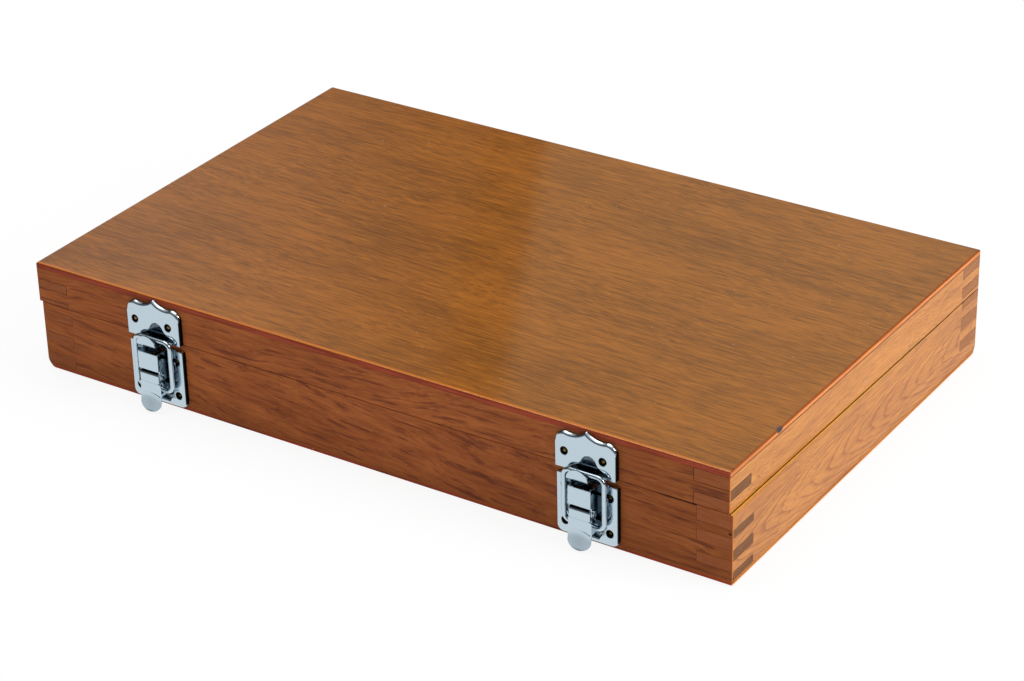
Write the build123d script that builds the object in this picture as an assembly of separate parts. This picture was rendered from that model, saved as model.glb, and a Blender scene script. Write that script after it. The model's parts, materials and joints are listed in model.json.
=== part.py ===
from build123d import *
import os
from math import cos, radians, sin, sqrt

# Gauge block case: a varnished box jointed wooden case with a hinged lid, two nailed draw
# latches on the front, two butt hinges at the back and a slotted tray for the blocks.
# Frame: +X to the right, -Y to the front, +Z up. The origin is the centre of the underside.

# Case
case_width = 340.0
case_depth = 215.0
base_height = 31.75
lid_height = 18.4
seam_gap = 0.25
board_thickness = 16.0
top_panel_thickness = 2.4
bottom_panel_thickness = 2.4
top_edge_radius = 0.7
bottom_edge_radius = 4.5
corner_edge_radius = 0.4
lid_side_shift = 0.75

# Finger joints, from the top of each frame down. On the right front and left back corners
# a side board has the first finger, and on the other two the front or back board has it.
side_first_lid_shares = (0.380, 0.275, 0.345)
end_first_lid_shares = (0.310, 0.280, 0.290, 0.120)
side_first_base_shares = (0.228, 0.123, 0.184, 0.164, 0.170, 0.131)
end_first_base_shares = (0.112, 0.153, 0.204, 0.160, 0.177, 0.194)

# Tray for the blocks
tray_side_play = 0.3
tray_floor_thickness = 4.0
tray_top_drop = 4.75
block_thickness = 9.0
slot_play = 0.5
gauge_unit = 1.0
thousandth_shares = [1 + step / 1000 for step in range(1, 10)]
hundredth_shares = [1 + step / 100 for step in range(1, 50)]
half_shares = [step / 2 for step in range(1, 20)]
row_size_shares = (
    thousandth_shares + hundredth_shares[:20],
    hundredth_shares[20:],
    half_shares,
    (100, 10),
    (90, 20),
    (80, 30),
    (70, 40),
    (60, 50),
)

# Felt pad in the lid
felt_thickness = 4.6
felt_margin = 4.0
felt_seat_gap = 0.3
felt_corner_radius = 3.0

# Latch places, from the middle of each latch to the end of the case, and the nails
latch_end_distance = 63.7
nail_radius = 0.7
nail_fit = 0.05
nail_length = 11.0
nail_head_radius = 1.2
nail_head_height = 0.8
nail_hole_radius = 1.45
nail_boss_wall = 0.45

# Strike plate on the lid
strike_half_width = 14.0
strike_lift = 0.2
strike_top_gap = 0.6
strike_peak_rise = 2.3
strike_dip = 0.15
strike_corner_radius = 3.4
strike_stand = 2.2
strike_sheet = 0.8
strike_bevel = 0.7
strike_nail_offset = 8.7
strike_nail_height = 7.0
relief_half_width = 7.6
relief_height = 7.8
relief_waist_height = 1.8
relief_neck_half_width = 3.4
relief_neck_height = 4.6
relief_floor = 1.0
hook_half_width = 4.9
hook_drop = 2.6
hook_sheet = 0.7
hook_reach = 6.4
hook_tip_rise = 4.6
hook_back_gap = 0.3
hook_bend_radius = 0.5

# Latch base plate on the box
plate_half_width = 14.1
plate_foot_gap = 1.9
plate_seam_gap = 2.95
plate_stand = 2.0
plate_sheet = 0.8
plate_corner_radius = 3.0
plate_horn_radius = 0.8
plate_bevel = 0.5
plate_nail_offset = 10.3
plate_nail_drop = 5.2
plate_nail_rise = 5.6
trough_half_width = 8.3
trough_belly_half_width = 10.2
trough_waist_half_width = 8.6
trough_foot_half_width = 5.6
trough_height_shares = (0.056, 0.208, 0.375, 0.552, 0.729)

# Bracket that carries the lever
latch_sheet = 0.7
bracket_half_width = 5.2
bracket_front = 8.2
bracket_rise = 3.1
bracket_height = 8.0
bracket_edge_radius = 0.5
ear_radius = 1.9

# Lever and its pin, measured out from the front face and down from the plate's top
lever_pivot_out = 5.2
lever_pivot_drop = 11.8
lever_pin_radius = 1.0
pin_fit = 0.05
pin_head_radius = 1.45
pin_head_height = 0.5
lever_sheet = 0.9
lever_side_play = 0.2
lever_shoulder_drop = 2.4
lever_pad_half_width = 5.3
lever_bend_drop = 7.6
lever_pad_lean = 1.8
lever_reach = 16.4
cheek_radius = 1.9

# Wire loop that the strike plate's hook holds
loop_pivot_out = 4.2
loop_pivot_drop = 7.1
loop_wire_radius = 1.05
loop_half_width = 9.8
loop_corner_radius = 2.6
loop_hook_play = 1.7

# Hinges at the back, placed like the latches
hinge_end_distance = 70.0
hinge_length = 38.0
hinge_leaf_height = 12.5
hinge_leaf_thickness = 1.2
hinge_knuckle_radius = 2.2
hinge_knuckle_clearance = 0.3
hinge_knuckle_count = 5
hinge_knuckle_gap = 0.25
hinge_pin_radius = 1.1
hinge_pin_fit = 0.04
hinge_pin_head_radius = 1.9
hinge_pin_head_height = 0.7
hinge_screw_spacing = 25.0
hinge_screw_count = 3
hinge_screw_drop = 7.2
screw_radius = 1.1
screw_fit = 0.05
screw_length = 12.0
screw_head_radius = 2.1
screw_head_height = 1.0
screw_slot_width = 0.4
screw_slot_depth = 0.35

# One overrun serves every cut
overrun = 5.0

# Worked out from the sizes above
half_width = case_width / 2
half_depth = case_depth / 2
lid_low = base_height + seam_gap
lid_high = lid_low + lid_height
lid_frame_high = lid_high - top_panel_thickness
inner_half_width = half_width - board_thickness
inner_half_depth = half_depth - board_thickness
tray_half_width = inner_half_width - tray_side_play
tray_half_depth = inner_half_depth - tray_side_play
slot_low = bottom_panel_thickness + tray_floor_thickness
tray_high = base_height - tray_top_drop
latch_offset = half_width - latch_end_distance
strike_low = lid_low + strike_lift
strike_high = lid_high - strike_top_gap - strike_peak_rise
hook_low = strike_low - hook_drop
hook_high = hook_low + hook_tip_rise
plate_low = plate_foot_gap
plate_high = base_height - plate_seam_gap
trough_heights = [plate_low + share * (plate_high - plate_low) for share in trough_height_shares]
lever_pivot_height = plate_high - lever_pivot_drop
bracket_low = lever_pivot_height + bracket_rise
bracket_high = bracket_low + bracket_height
lever_shoulder_height = lever_pivot_height - lever_shoulder_drop
lever_bend_height = lever_pivot_height - lever_bend_drop
lever_pad_low = lever_pivot_height - lever_reach
loop_pivot_height = lever_pivot_height - loop_pivot_drop
cheek_low = loop_pivot_height - cheek_radius
loop_top_height = hook_low + hook_sheet + loop_hook_play + loop_wire_radius
hinge_offset = half_width - hinge_end_distance
hinge_axis_out = hinge_knuckle_radius + hinge_knuckle_clearance
hinge_axis_height = (base_height + lid_low) / 2
hinge_leaf_clearance = hinge_knuckle_radius + hinge_knuckle_clearance


def block(x_range, y_range, z_range):
    """A box between two places along each axis."""
    sizes = [high - low for low, high in (x_range, y_range, z_range)]
    middle = [(high + low) / 2 for low, high in (x_range, y_range, z_range)]
    return Pos(*middle) * Box(*sizes)


def out_block(half_span, out_range, z_range):
    """A box centred across a latch, between two distances out from the front face."""
    return block((-half_span, half_span), (-out_range[1], -out_range[0]), z_range)


def out_prism(face, out_low, out_high):
    """A face drawn in the XZ plane, made solid between two distances out."""
    return extrude(Pos(0, -out_low, 0) * face, amount=out_high - out_low, dir=(0, -1, 0))


def side_prism(points, half_span):
    """A profile of (out, height) points, made solid both ways across a latch."""
    corners = [(0, -out, height) for out, height in points]
    return extrude(make_face(Polyline(*corners, close=True)), amount=half_span, dir=(1, 0, 0), both=True)


def cross_rod(radius, x_range, out, height):
    """A round rod along X between two places."""
    middle = (x_range[0] + x_range[1]) / 2
    return Pos(middle, -out, height) * Rot(0, 90, 0) * Cylinder(radius, x_range[1] - x_range[0])


def out_rod(radius, x, height, out_low, out_high):
    """A round rod along Y between two distances out from the front face."""
    middle = (out_low + out_high) / 2
    return Pos(x, -middle, height) * Rot(90, 0, 0) * Cylinder(radius, out_high - out_low)


# Wooden case


def case_envelope(z_low, z_high, rounded_at_top, edge_radius):
    """The whole outer form of the lid or the base, which its boards and panel share."""
    body = block((-half_width, half_width), (-half_depth, half_depth), (z_low, z_high))
    body = fillet(body.edges().filter_by(Axis.Z), corner_edge_radius)
    level = -1 if rounded_at_top else 0
    return fillet(body.edges().group_by(Axis.Z)[level], edge_radius)


def finger_ranges(z_low, z_high, shares):
    """Heights between which each finger lies, from the top down."""
    ranges = []
    top = z_high
    for share in shares:
        bottom = top - share * (z_high - z_low)
        ranges.append((bottom, top))
        top = bottom
    return ranges


def corner_fingers(x_side, y_side, z_low, z_high, side_first_shares, end_first_shares):
    """The fingers of one corner that belong to its front or back board."""
    side_first = x_side == -y_side
    shares = side_first_shares if side_first else end_first_shares
    ranges = finger_ranges(z_low, z_high, shares)
    owned = ranges[1::2] if side_first else ranges[0::2]
    x_range = sorted((x_side * inner_half_width, x_side * half_width))
    y_range = sorted((y_side * inner_half_depth, y_side * half_depth))
    return [block(x_range, y_range, z_range) for z_range in owned]


def frame_boards(envelope, z_low, z_high, side_first_shares, end_first_shares):
    """Front, back, left and right boards, locked together by fingers at the corners."""
    boards = {}
    fingers = {}
    for x_side in (-1, 1):
        for y_side in (-1, 1):
            shares = (side_first_shares, end_first_shares)
            fingers[x_side, y_side] = corner_fingers(x_side, y_side, z_low, z_high, *shares)
    for name, y_side in (("front", -1), ("back", 1)):
        y_range = sorted((y_side * inner_half_depth, y_side * half_depth))
        board = block((-inner_half_width, inner_half_width), y_range, (z_low, z_high))
        for finger in fingers[-1, y_side] + fingers[1, y_side]:
            board += finger
        boards[name] = board & envelope
    for name, x_side in (("left", -1), ("right", 1)):
        x_range = sorted((x_side * inner_half_width, x_side * half_width))
        board = block(x_range, (-half_depth, half_depth), (z_low, z_high))
        for finger in fingers[x_side, -1] + fingers[x_side, 1]:
            board -= finger
        boards[name] = board & envelope
    return boards


def lid_wood():
    """Top panel and four boards of the lid."""
    envelope = case_envelope(lid_low, lid_high, True, top_edge_radius)
    boards = frame_boards(envelope, lid_low, lid_frame_high, side_first_lid_shares, end_first_lid_shares)
    whole = ((-half_width, half_width), (-half_depth, half_depth))
    boards["top"] = block(*whole, (lid_frame_high, lid_high)) & envelope
    return {name: Pos(-lid_side_shift, 0, 0) * board for name, board in boards.items()}


def base_wood():
    """Bottom panel and four boards of the base."""
    envelope = case_envelope(0, base_height, False, bottom_edge_radius)
    frame = (bottom_panel_thickness, base_height)
    boards = frame_boards(envelope, *frame, side_first_base_shares, end_first_base_shares)
    whole = ((-half_width, half_width), (-half_depth, half_depth))
    boards["bottom"] = block(*whole, (0, bottom_panel_thickness)) & envelope
    return boards


def felt_pad():
    """Pad under the lid's panel that keeps the blocks in their slots."""
    half_x = inner_half_width - felt_margin
    half_y = inner_half_depth - felt_margin
    high = lid_frame_high - felt_seat_gap
    pad = block((-half_x, half_x), (-half_y, half_y), (high - felt_thickness, high))
    pad = fillet(pad.edges().filter_by(Axis.Z), felt_corner_radius)
    return Pos(-lid_side_shift, 0, 0) * pad


# Tray


def tray_rows():
    """Where each row of slots lies from front to back, as a range along Y."""
    count = len(row_size_shares)
    row_depth = block_thickness + slot_play
    rail_depth = (2 * tray_half_depth - count * row_depth) / (count + 1)
    rows = []
    front = tray_half_depth - rail_depth
    for _ in range(count):
        rows.append((front - row_depth, front))
        front -= row_depth + rail_depth
    return rows


def tray_rails():
    """Rails before, between and behind the rows of slots."""
    rows = tray_rows()
    edges = [tray_half_depth]
    for low, high in rows:
        edges += [high, low]
    edges.append(-tray_half_depth)
    span = (-tray_half_width, tray_half_width)
    pairs = zip(edges[0::2], edges[1::2])
    return [block(span, (low, high), (slot_low, tray_high)) for high, low in pairs]


def tray_dividers(size_shares, y_range):
    """The equal dividers that leave one row's slots between them."""
    slots = [share * gauge_unit + slot_play for share in size_shares]
    divider = (2 * tray_half_width - sum(slots)) / (len(slots) + 1)
    pieces = []
    left = -tray_half_width
    for slot in slots + [0]:
        pieces.append(block((left, left + divider), y_range, (slot_low, tray_high)))
        left += divider + slot
    return Compound(pieces)


def tray_floor():
    """Board under the rails, on which the blocks stand."""
    spans = ((-tray_half_width, tray_half_width), (-tray_half_depth, tray_half_depth))
    return block(*spans, (bottom_panel_thickness, slot_low))


# Nails


def nail(x, height, seat_out):
    """Round headed nail whose head rests in its plate's dished hole."""
    shank = out_rod(nail_radius, x, height, seat_out - nail_length, seat_out)
    crown = Pos(x, -seat_out, height) * Sphere(nail_head_radius)
    slab = out_rod(nail_head_radius, x, height, seat_out, seat_out + nail_head_height)
    return shank + (crown & slab)


def nail_hole(x, height, seat_out):
    """Room for one nail in the wood and the plate behind its head."""
    return out_rod(nail_radius + nail_fit, x, height, seat_out - nail_length - nail_fit, seat_out)


def nail_dish(x, height, seat_out, plate_front):
    """The dished hole over one nail's head."""
    depth = plate_front - seat_out
    cone = Cone(nail_head_radius + nail_fit, nail_hole_radius, depth)
    dish = Pos(x, -(seat_out + depth / 2), height) * Rot(90, 0, 0) * cone
    return dish + out_rod(nail_hole_radius, x, height, plate_front, plate_front + overrun)


def nail_boss(x, height, plate_front):
    """The pressed in boss round one nail, which rests on the wood."""
    return out_rod(nail_hole_radius + nail_boss_wall, x, height, 0, plate_front)


def nailed(plate, places, seat_out, plate_front):
    """A plate with a boss and a dished hole at each nail."""
    for x, height in places:
        plate += nail_boss(x, height, plate_front)
    for x, height in places:
        plate -= nail_dish(x, height, seat_out, plate_front)
        plate -= nail_hole(x, height, seat_out)
    return plate


def strike_nail_places():
    height = strike_low + strike_nail_height
    return [(-strike_nail_offset, height), (strike_nail_offset, height)]


def plate_nail_places():
    sides = (-plate_nail_offset, plate_nail_offset)
    heights = (plate_low + plate_nail_rise, plate_high - plate_nail_drop)
    return [(x, height) for x in sides for height in heights]


# Strike plate


def strike_outline(inset):
    """Plate outline with a middle peak and a shallow scallop on each side of it."""
    half = strike_half_width - inset
    low = strike_low + inset
    high = strike_high - inset
    peak = high + strike_peak_rise
    corner = strike_corner_radius - inset
    lobe = half - corner
    turn = corner * sqrt(0.5)
    dip = (-lobe / 2, 0, high - strike_dip)
    edges = [Line((0, 0, low), (-half, 0, low)), Line((-half, 0, low), (-half, 0, high - corner))]
    knee = (-lobe - turn, 0, high - corner + turn)
    edges.append(ThreePointArc((-half, 0, high - corner), knee, (-lobe, 0, high)))
    edges.append(ThreePointArc((-lobe, 0, high), dip, (0, 0, peak)))
    edges += [mirror(edge, Plane.YZ) for edge in edges]
    return make_face(edges)


def relief_outline():
    """Bell shaped area that is pressed in above the hook."""
    foot = strike_low - overrun
    waist = strike_low + relief_waist_height
    neck = strike_low + relief_neck_height
    top = strike_low + relief_height
    half = relief_half_width
    neck_half = relief_neck_half_width
    flare = ((half + neck_half) / 2 - strike_dip, 0, (waist + neck) / 2 - strike_dip)
    turn = neck_half * sqrt(0.5)
    crown = (turn, 0, neck + (top - neck) * sqrt(0.5))
    edges = [Line((0, 0, foot), (half, 0, foot)), Line((half, 0, foot), (half, 0, waist))]
    edges.append(ThreePointArc((half, 0, waist), flare, (neck_half, 0, neck)))
    edges.append(ThreePointArc((neck_half, 0, neck), crown, (0, 0, top)))
    edges += [mirror(edge, Plane.YZ) for edge in edges]
    return make_face(edges)


def relief_cut():
    """Wedge that leaves the pressed in area deeper towards the hook."""
    front = strike_stand + overrun
    waist = strike_low + relief_waist_height
    top = strike_low + relief_height
    foot = strike_low - overrun
    profile = [(relief_floor, foot), (relief_floor, waist), (strike_stand, top), (front, top), (front, foot)]
    return side_prism(profile, relief_half_width) & out_prism(relief_outline(), 0, front)


def strike_hook():
    """Tongue that runs out under the loop's wire and turns up in front of it, round at its tip."""
    inner_back = hook_back_gap + hook_sheet
    inner_front = hook_reach - hook_sheet
    outer = out_block(hook_half_width, (hook_back_gap, hook_reach), (hook_low, hook_high))
    outer = fillet(outer.edges().filter_by(Axis.X).group_by(Axis.Z)[0], hook_bend_radius + hook_sheet)
    room = out_block(case_width, (inner_back, inner_front), (hook_low + hook_sheet, hook_high + overrun))
    room = fillet(room.edges().filter_by(Axis.X).group_by(Axis.Z)[0], hook_bend_radius)
    tongue = Pos(0, 0, hook_low) * Rot(90, 0, 0) * Ellipse(hook_half_width, hook_tip_rise)
    return (outer - room) & out_prism(tongue, 0, hook_reach)


def strike_plate():
    """Pressed plate, hollow behind, with its hook."""
    plate = out_prism(strike_outline(0), 0, strike_stand)
    rim = plate.faces().sort_by(Axis.Y)[0].edges()
    plate = chamfer(rim, strike_bevel)
    hollow = out_prism(strike_outline(strike_sheet), -overrun, strike_stand - strike_sheet)
    keep = out_prism(relief_outline(), -overrun, strike_stand)
    plate -= hollow - keep
    plate -= relief_cut()
    plate = nailed(plate, strike_nail_places(), relief_floor, strike_stand)
    return plate + strike_hook()


# Latch base plate


def plate_outline():
    """Plate outline, rounded below, with two small rounded horns above."""
    width = 2 * plate_half_width
    sheet = Rectangle(width, plate_high - plate_low)
    sheet = fillet(sheet.vertices().group_by(Axis.Y)[0], plate_corner_radius)
    sheet = fillet(sheet.vertices().group_by(Axis.Y)[-1], plate_horn_radius)
    return Pos(0, 0, (plate_high + plate_low) / 2) * Rot(90, 0, 0) * sheet


def trough_outline():
    """Pressed in middle of the plate, which clears the loop and the lever."""
    low, foot_high, waist_high, belly_high, shoulder_high = trough_heights
    foot = trough_foot_half_width
    waist = (trough_waist_half_width, 0, waist_high)
    belly = (trough_belly_half_width, 0, belly_high)
    shoulder = (trough_half_width, 0, shoulder_high)
    corner = (trough_half_width, 0, plate_high + overrun)
    right = [
        Line((0, 0, low), (foot, 0, low)),
        Line((foot, 0, low), (foot, 0, foot_high)),
        Line((foot, 0, foot_high), waist),
        ThreePointArc(waist, belly, shoulder),
        Line(shoulder, corner),
        Line(corner, (0, 0, plate_high + overrun)),
    ]
    return make_face(right + [mirror(edge, Plane.YZ) for edge in right])


def base_plate():
    """Pressed plate, nailed to the box, with raised sides and a flat middle."""
    plate = out_prism(plate_outline(), 0, plate_stand)
    rim = plate.faces().sort_by(Axis.Y)[0].edges()
    plate = chamfer(rim, plate_bevel)
    plate -= out_prism(trough_outline(), plate_sheet, plate_stand + overrun)
    return nailed(plate, plate_nail_places(), plate_sheet, plate_stand)


def bracket():
    """Folded bracket, open below, whose two ears carry the lever's pin."""
    half = bracket_half_width
    inner = half - latch_sheet
    ear_low = lever_pivot_height - ear_radius
    ear_front = lever_pivot_out + ear_radius
    shell = out_block(half, (plate_sheet, bracket_front), (bracket_low, bracket_high))
    corners = shell.edges().filter_by(Axis.Z).group_by(Axis.Y)[0]
    shell = fillet(corners, bracket_edge_radius)
    legs = out_block(half, (plate_sheet, ear_front), (lever_pivot_height, bracket_low))
    legs += out_block(half, (plate_sheet, lever_pivot_out), (ear_low, lever_pivot_height))
    legs += cross_rod(ear_radius, (-half, half), lever_pivot_out, lever_pivot_height)
    room_high = bracket_high - latch_sheet
    room = out_block(inner, (plate_sheet - overrun, bracket_front - latch_sheet), (0, room_high))
    bore = cross_rod(lever_pin_radius + pin_fit, (-case_width, case_width), lever_pivot_out, lever_pivot_height)
    return shell + legs - room - bore


def lever_pin():
    """Headed pin through the bracket's ears and the lever."""
    half = bracket_half_width + pin_fit
    pin = cross_rod(lever_pin_radius, (-half, half), lever_pivot_out, lever_pivot_height)
    for side in (-1, 1):
        span = sorted((side * half, side * (half + pin_head_height)))
        pin += cross_rod(pin_head_radius, span, lever_pivot_out, lever_pivot_height)
    return pin


def lever_outline():
    """Front outline of the lever's strip: a neck, wider below, with a round end."""
    neck = bracket_half_width - latch_sheet - lever_side_play
    pad = lever_pad_half_width
    round_height = lever_pad_low + pad
    edges = [
        Line((0, 0, lever_pivot_height), (neck, 0, lever_pivot_height)),
        Line((neck, 0, lever_pivot_height), (neck, 0, lever_shoulder_height)),
        Line((neck, 0, lever_shoulder_height), (pad, 0, lever_shoulder_height)),
        Line((pad, 0, lever_shoulder_height), (pad, 0, round_height)),
        ThreePointArc((pad, 0, round_height), (pad * sqrt(0.5), 0, round_height - pad * sqrt(0.5)),
                      (0, 0, lever_pad_low)),
    ]
    return make_face(edges + [mirror(edge, Plane.YZ) for edge in edges])


def lever():
    """Lever with a rolled knuckle on its pin, two cheeks for the loop and a thumb pad."""
    front = bracket_front
    back = front - lever_sheet
    lean = lever_pad_lean
    top = lever_pivot_height
    knuckle_half = bracket_half_width - latch_sheet - lever_side_play
    profile = [(back, top), (front, top), (front, lever_bend_height), (front + lean, lever_pad_low),
               (back + lean, lever_pad_low), (back, lever_bend_height)]
    strip = side_prism(profile, lever_pad_half_width) & out_prism(lever_outline(), 0, front + lean)
    knuckle_radius = front - lever_pivot_out
    body = strip + cross_rod(knuckle_radius, (-knuckle_half, knuckle_half), lever_pivot_out, top)
    inner = lever_pad_half_width - latch_sheet
    for side in (-1, 1):
        span = sorted((side * inner, side * lever_pad_half_width))
        cheek = block(span, (-front + lever_sheet, -loop_pivot_out), (cheek_low, lever_shoulder_height))
        cheek += cross_rod(cheek_radius, span, loop_pivot_out, loop_pivot_height)
        body += cheek
    body -= cross_rod(lever_pin_radius + pin_fit, (-case_width, case_width), lever_pivot_out, top)
    hole = cross_rod(loop_wire_radius + pin_fit, (-case_width, case_width), loop_pivot_out, loop_pivot_height)
    return body - hole


def loop():
    """Closed wire loop, whose lower run turns in the lever's cheeks."""
    middle = loop_half_width - loop_wire_radius
    out = -loop_pivot_out
    corners = [(-middle, out, loop_pivot_height), (middle, out, loop_pivot_height),
               (middle, out, loop_top_height), (-middle, out, loop_top_height)]
    path = FilletPolyline(*corners, radius=loop_corner_radius, close=True)
    section = Plane(origin=path @ 0, z_dir=path % 0) * Circle(loop_wire_radius)
    return sweep(section, path=path)


# Hinges


def knuckle_spans(for_lid):
    """Places along X of the knuckles that belong to the lid's or the base's leaf."""
    pitch = hinge_length / hinge_knuckle_count
    spans = []
    for index in range(hinge_knuckle_count):
        if (index % 2 == 1) == for_lid:
            low = -hinge_length / 2 + index * pitch
            spans.append((low + hinge_knuckle_gap / 2, low + pitch - hinge_knuckle_gap / 2))
    return spans


def back_rod(radius, x_range, extra_out=0):
    """A round rod on the hinge axis."""
    return cross_rod(radius, x_range, -half_depth - hinge_axis_out - extra_out, hinge_axis_height)


def hinge_leaf(for_lid):
    """Leaf on the back of the lid or the base, with its knuckles round the pin."""
    side = 1 if for_lid else -1
    edge = hinge_axis_height + side * hinge_leaf_clearance
    far = edge + side * hinge_leaf_height
    y_range = (half_depth, half_depth + hinge_leaf_thickness)
    leaf = block((-hinge_length / 2, hinge_length / 2), y_range, sorted((edge, far)))
    corners = leaf.edges().filter_by(Axis.Y).group_by(Axis.Z)[-1 if for_lid else 0]
    leaf = fillet(corners, hinge_leaf_thickness)
    for span in knuckle_spans(for_lid):
        web_top = (half_depth + hinge_knuckle_clearance, half_depth + hinge_leaf_thickness)
        leaf += block(span, web_top, sorted((hinge_axis_height, edge)))
        leaf += back_rod(hinge_knuckle_radius, span)
    leaf -= back_rod(hinge_pin_radius + hinge_pin_fit, (-hinge_length, hinge_length))
    for x, height in hinge_screw_places(for_lid):
        leaf -= screw_room(x, height)
    return leaf


def hinge_screw_places(for_lid):
    """Middle of each screw in one leaf, as (x, height)."""
    side = 1 if for_lid else -1
    height = hinge_axis_height + side * (hinge_leaf_clearance + hinge_screw_drop)
    pitch = hinge_screw_spacing / (hinge_screw_count - 1)
    return [(-hinge_screw_spacing / 2 + index * pitch, height) for index in range(hinge_screw_count)]


def screw_form(x, height, extra):
    """Countersunk screw in the back of the case, larger all round by extra."""
    face = half_depth + hinge_leaf_thickness
    shank = Cylinder(screw_radius + extra, screw_length + extra)
    shank = Pos(x, face - (screw_length + extra) / 2, height) * Rot(90, 0, 0) * shank
    head = Cone(screw_head_radius + extra, screw_radius + extra, screw_head_height)
    return shank + Pos(x, face - screw_head_height / 2, height) * Rot(90, 0, 0) * head


def screw_room(x, height):
    """Hole and countersink for one screw."""
    return screw_form(x, height, screw_fit)


def screw(x, height):
    """Countersunk slotted screw."""
    face = half_depth + hinge_leaf_thickness
    slot = block((x - screw_head_radius, x + screw_head_radius), (face - screw_slot_depth, face + overrun),
                 (height - screw_slot_width / 2, height + screw_slot_width / 2))
    return screw_form(x, height, 0) - slot


def hinge_pin():
    """Hinge pin with a small head at each end."""
    half = hinge_length / 2
    pin = back_rod(hinge_pin_radius, (-half, half))
    for side in (-1, 1):
        pin += back_rod(hinge_pin_head_radius, sorted((side * half, side * (half + hinge_pin_head_height))))
    return pin


# Assembly

nodes = {}
lid = lid_wood()
base = base_wood()

for side_name, side in (("left", -1), ("right", 1)):
    on_base = Pos(side * latch_offset, -half_depth, 0)
    on_lid = Pos(side * latch_offset - lid_side_shift, -half_depth, 0)
    latch = f"{side_name}_latch"
    nodes[f"{latch}_strike_plate"] = on_lid * strike_plate()
    strike_nails = [nail(x, height, relief_floor) for x, height in strike_nail_places()]
    nodes[f"{latch}_strike_nails"] = on_lid * Compound(strike_nails)
    nodes[f"{latch}_base_plate"] = on_base * base_plate()
    base_nails = [nail(x, height, plate_sheet) for x, height in plate_nail_places()]
    nodes[f"{latch}_base_nails"] = on_base * Compound(base_nails)
    nodes[f"{latch}_bracket"] = on_base * bracket()
    nodes[f"{latch}_lever_pin"] = on_base * lever_pin()
    nodes[f"{latch}_lever"] = on_base * lever()
    nodes[f"{latch}_loop"] = on_base * loop()
    for x, height in strike_nail_places():
        lid["front"] -= on_lid * nail_hole(x, height, relief_floor)
    for x, height in plate_nail_places():
        base["front"] -= on_base * nail_hole(x, height, plate_sheet)

    at_hinge = Pos(side * hinge_offset, 0, 0)
    hinge = f"{side_name}_hinge"
    nodes[f"{hinge}_pin"] = at_hinge * hinge_pin()
    for part_name, boards, for_lid in (("lid", lid, True), ("base", base, False)):
        places = hinge_screw_places(for_lid)
        nodes[f"{hinge}_{part_name}_leaf"] = at_hinge * hinge_leaf(for_lid)
        screws = [screw(x, height) for x, height in places]
        nodes[f"{hinge}_{part_name}_screws"] = at_hinge * Compound(screws)
        for x, height in places:
            boards["back"] -= at_hinge * screw_room(x, height)

nodes["lid_top_panel"] = lid["top"]
nodes["base_bottom_panel"] = base["bottom"]
for board_name in ("front", "back", "left", "right"):
    nodes[f"lid_{board_name}_board"] = lid[board_name]
    nodes[f"base_{board_name}_board"] = base[board_name]
nodes["lid_felt_pad"] = felt_pad()
nodes["tray_floor"] = tray_floor()
for number, rail in enumerate(tray_rails(), 1):
    nodes[f"tray_rail_{number}"] = rail
for number, (size_shares, y_range) in enumerate(zip(row_size_shares, tray_rows()), 1):
    nodes[f"tray_dividers_{number}"] = tray_dividers(size_shares, y_range)

os.makedirs("parts", exist_ok=True)
for node_name, shape in nodes.items():
    export_step(shape, f"parts/{node_name}.step")
print(len(nodes), "nodes written")
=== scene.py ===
import json
import math

import bmesh
import bpy
import numpy as np
from mathutils import Matrix, Vector, geometry

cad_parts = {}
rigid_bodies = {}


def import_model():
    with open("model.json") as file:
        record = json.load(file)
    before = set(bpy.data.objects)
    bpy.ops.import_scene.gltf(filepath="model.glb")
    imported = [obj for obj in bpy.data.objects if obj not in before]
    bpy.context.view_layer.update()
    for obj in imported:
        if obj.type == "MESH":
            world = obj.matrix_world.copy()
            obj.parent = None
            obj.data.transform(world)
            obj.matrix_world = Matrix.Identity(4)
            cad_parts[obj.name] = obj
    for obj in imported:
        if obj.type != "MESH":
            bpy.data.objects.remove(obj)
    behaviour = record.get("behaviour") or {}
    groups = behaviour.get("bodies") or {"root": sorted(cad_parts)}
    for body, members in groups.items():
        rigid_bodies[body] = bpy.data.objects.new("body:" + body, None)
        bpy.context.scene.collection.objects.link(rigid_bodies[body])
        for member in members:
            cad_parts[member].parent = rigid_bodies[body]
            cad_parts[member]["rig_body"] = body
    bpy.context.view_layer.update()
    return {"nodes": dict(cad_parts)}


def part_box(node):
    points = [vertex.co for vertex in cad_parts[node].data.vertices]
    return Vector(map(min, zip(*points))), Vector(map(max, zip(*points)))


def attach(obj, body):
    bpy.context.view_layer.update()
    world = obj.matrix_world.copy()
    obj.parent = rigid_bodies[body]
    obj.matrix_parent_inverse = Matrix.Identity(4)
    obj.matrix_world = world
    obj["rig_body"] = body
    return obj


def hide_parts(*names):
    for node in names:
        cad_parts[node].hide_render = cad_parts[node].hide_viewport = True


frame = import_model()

MM = 0.001
NODES = frame["nodes"]


def node_range(node):
    """Lowest and highest corner of a CAD node in millimetres."""
    low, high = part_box(node)
    return low / MM, high / MM


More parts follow.
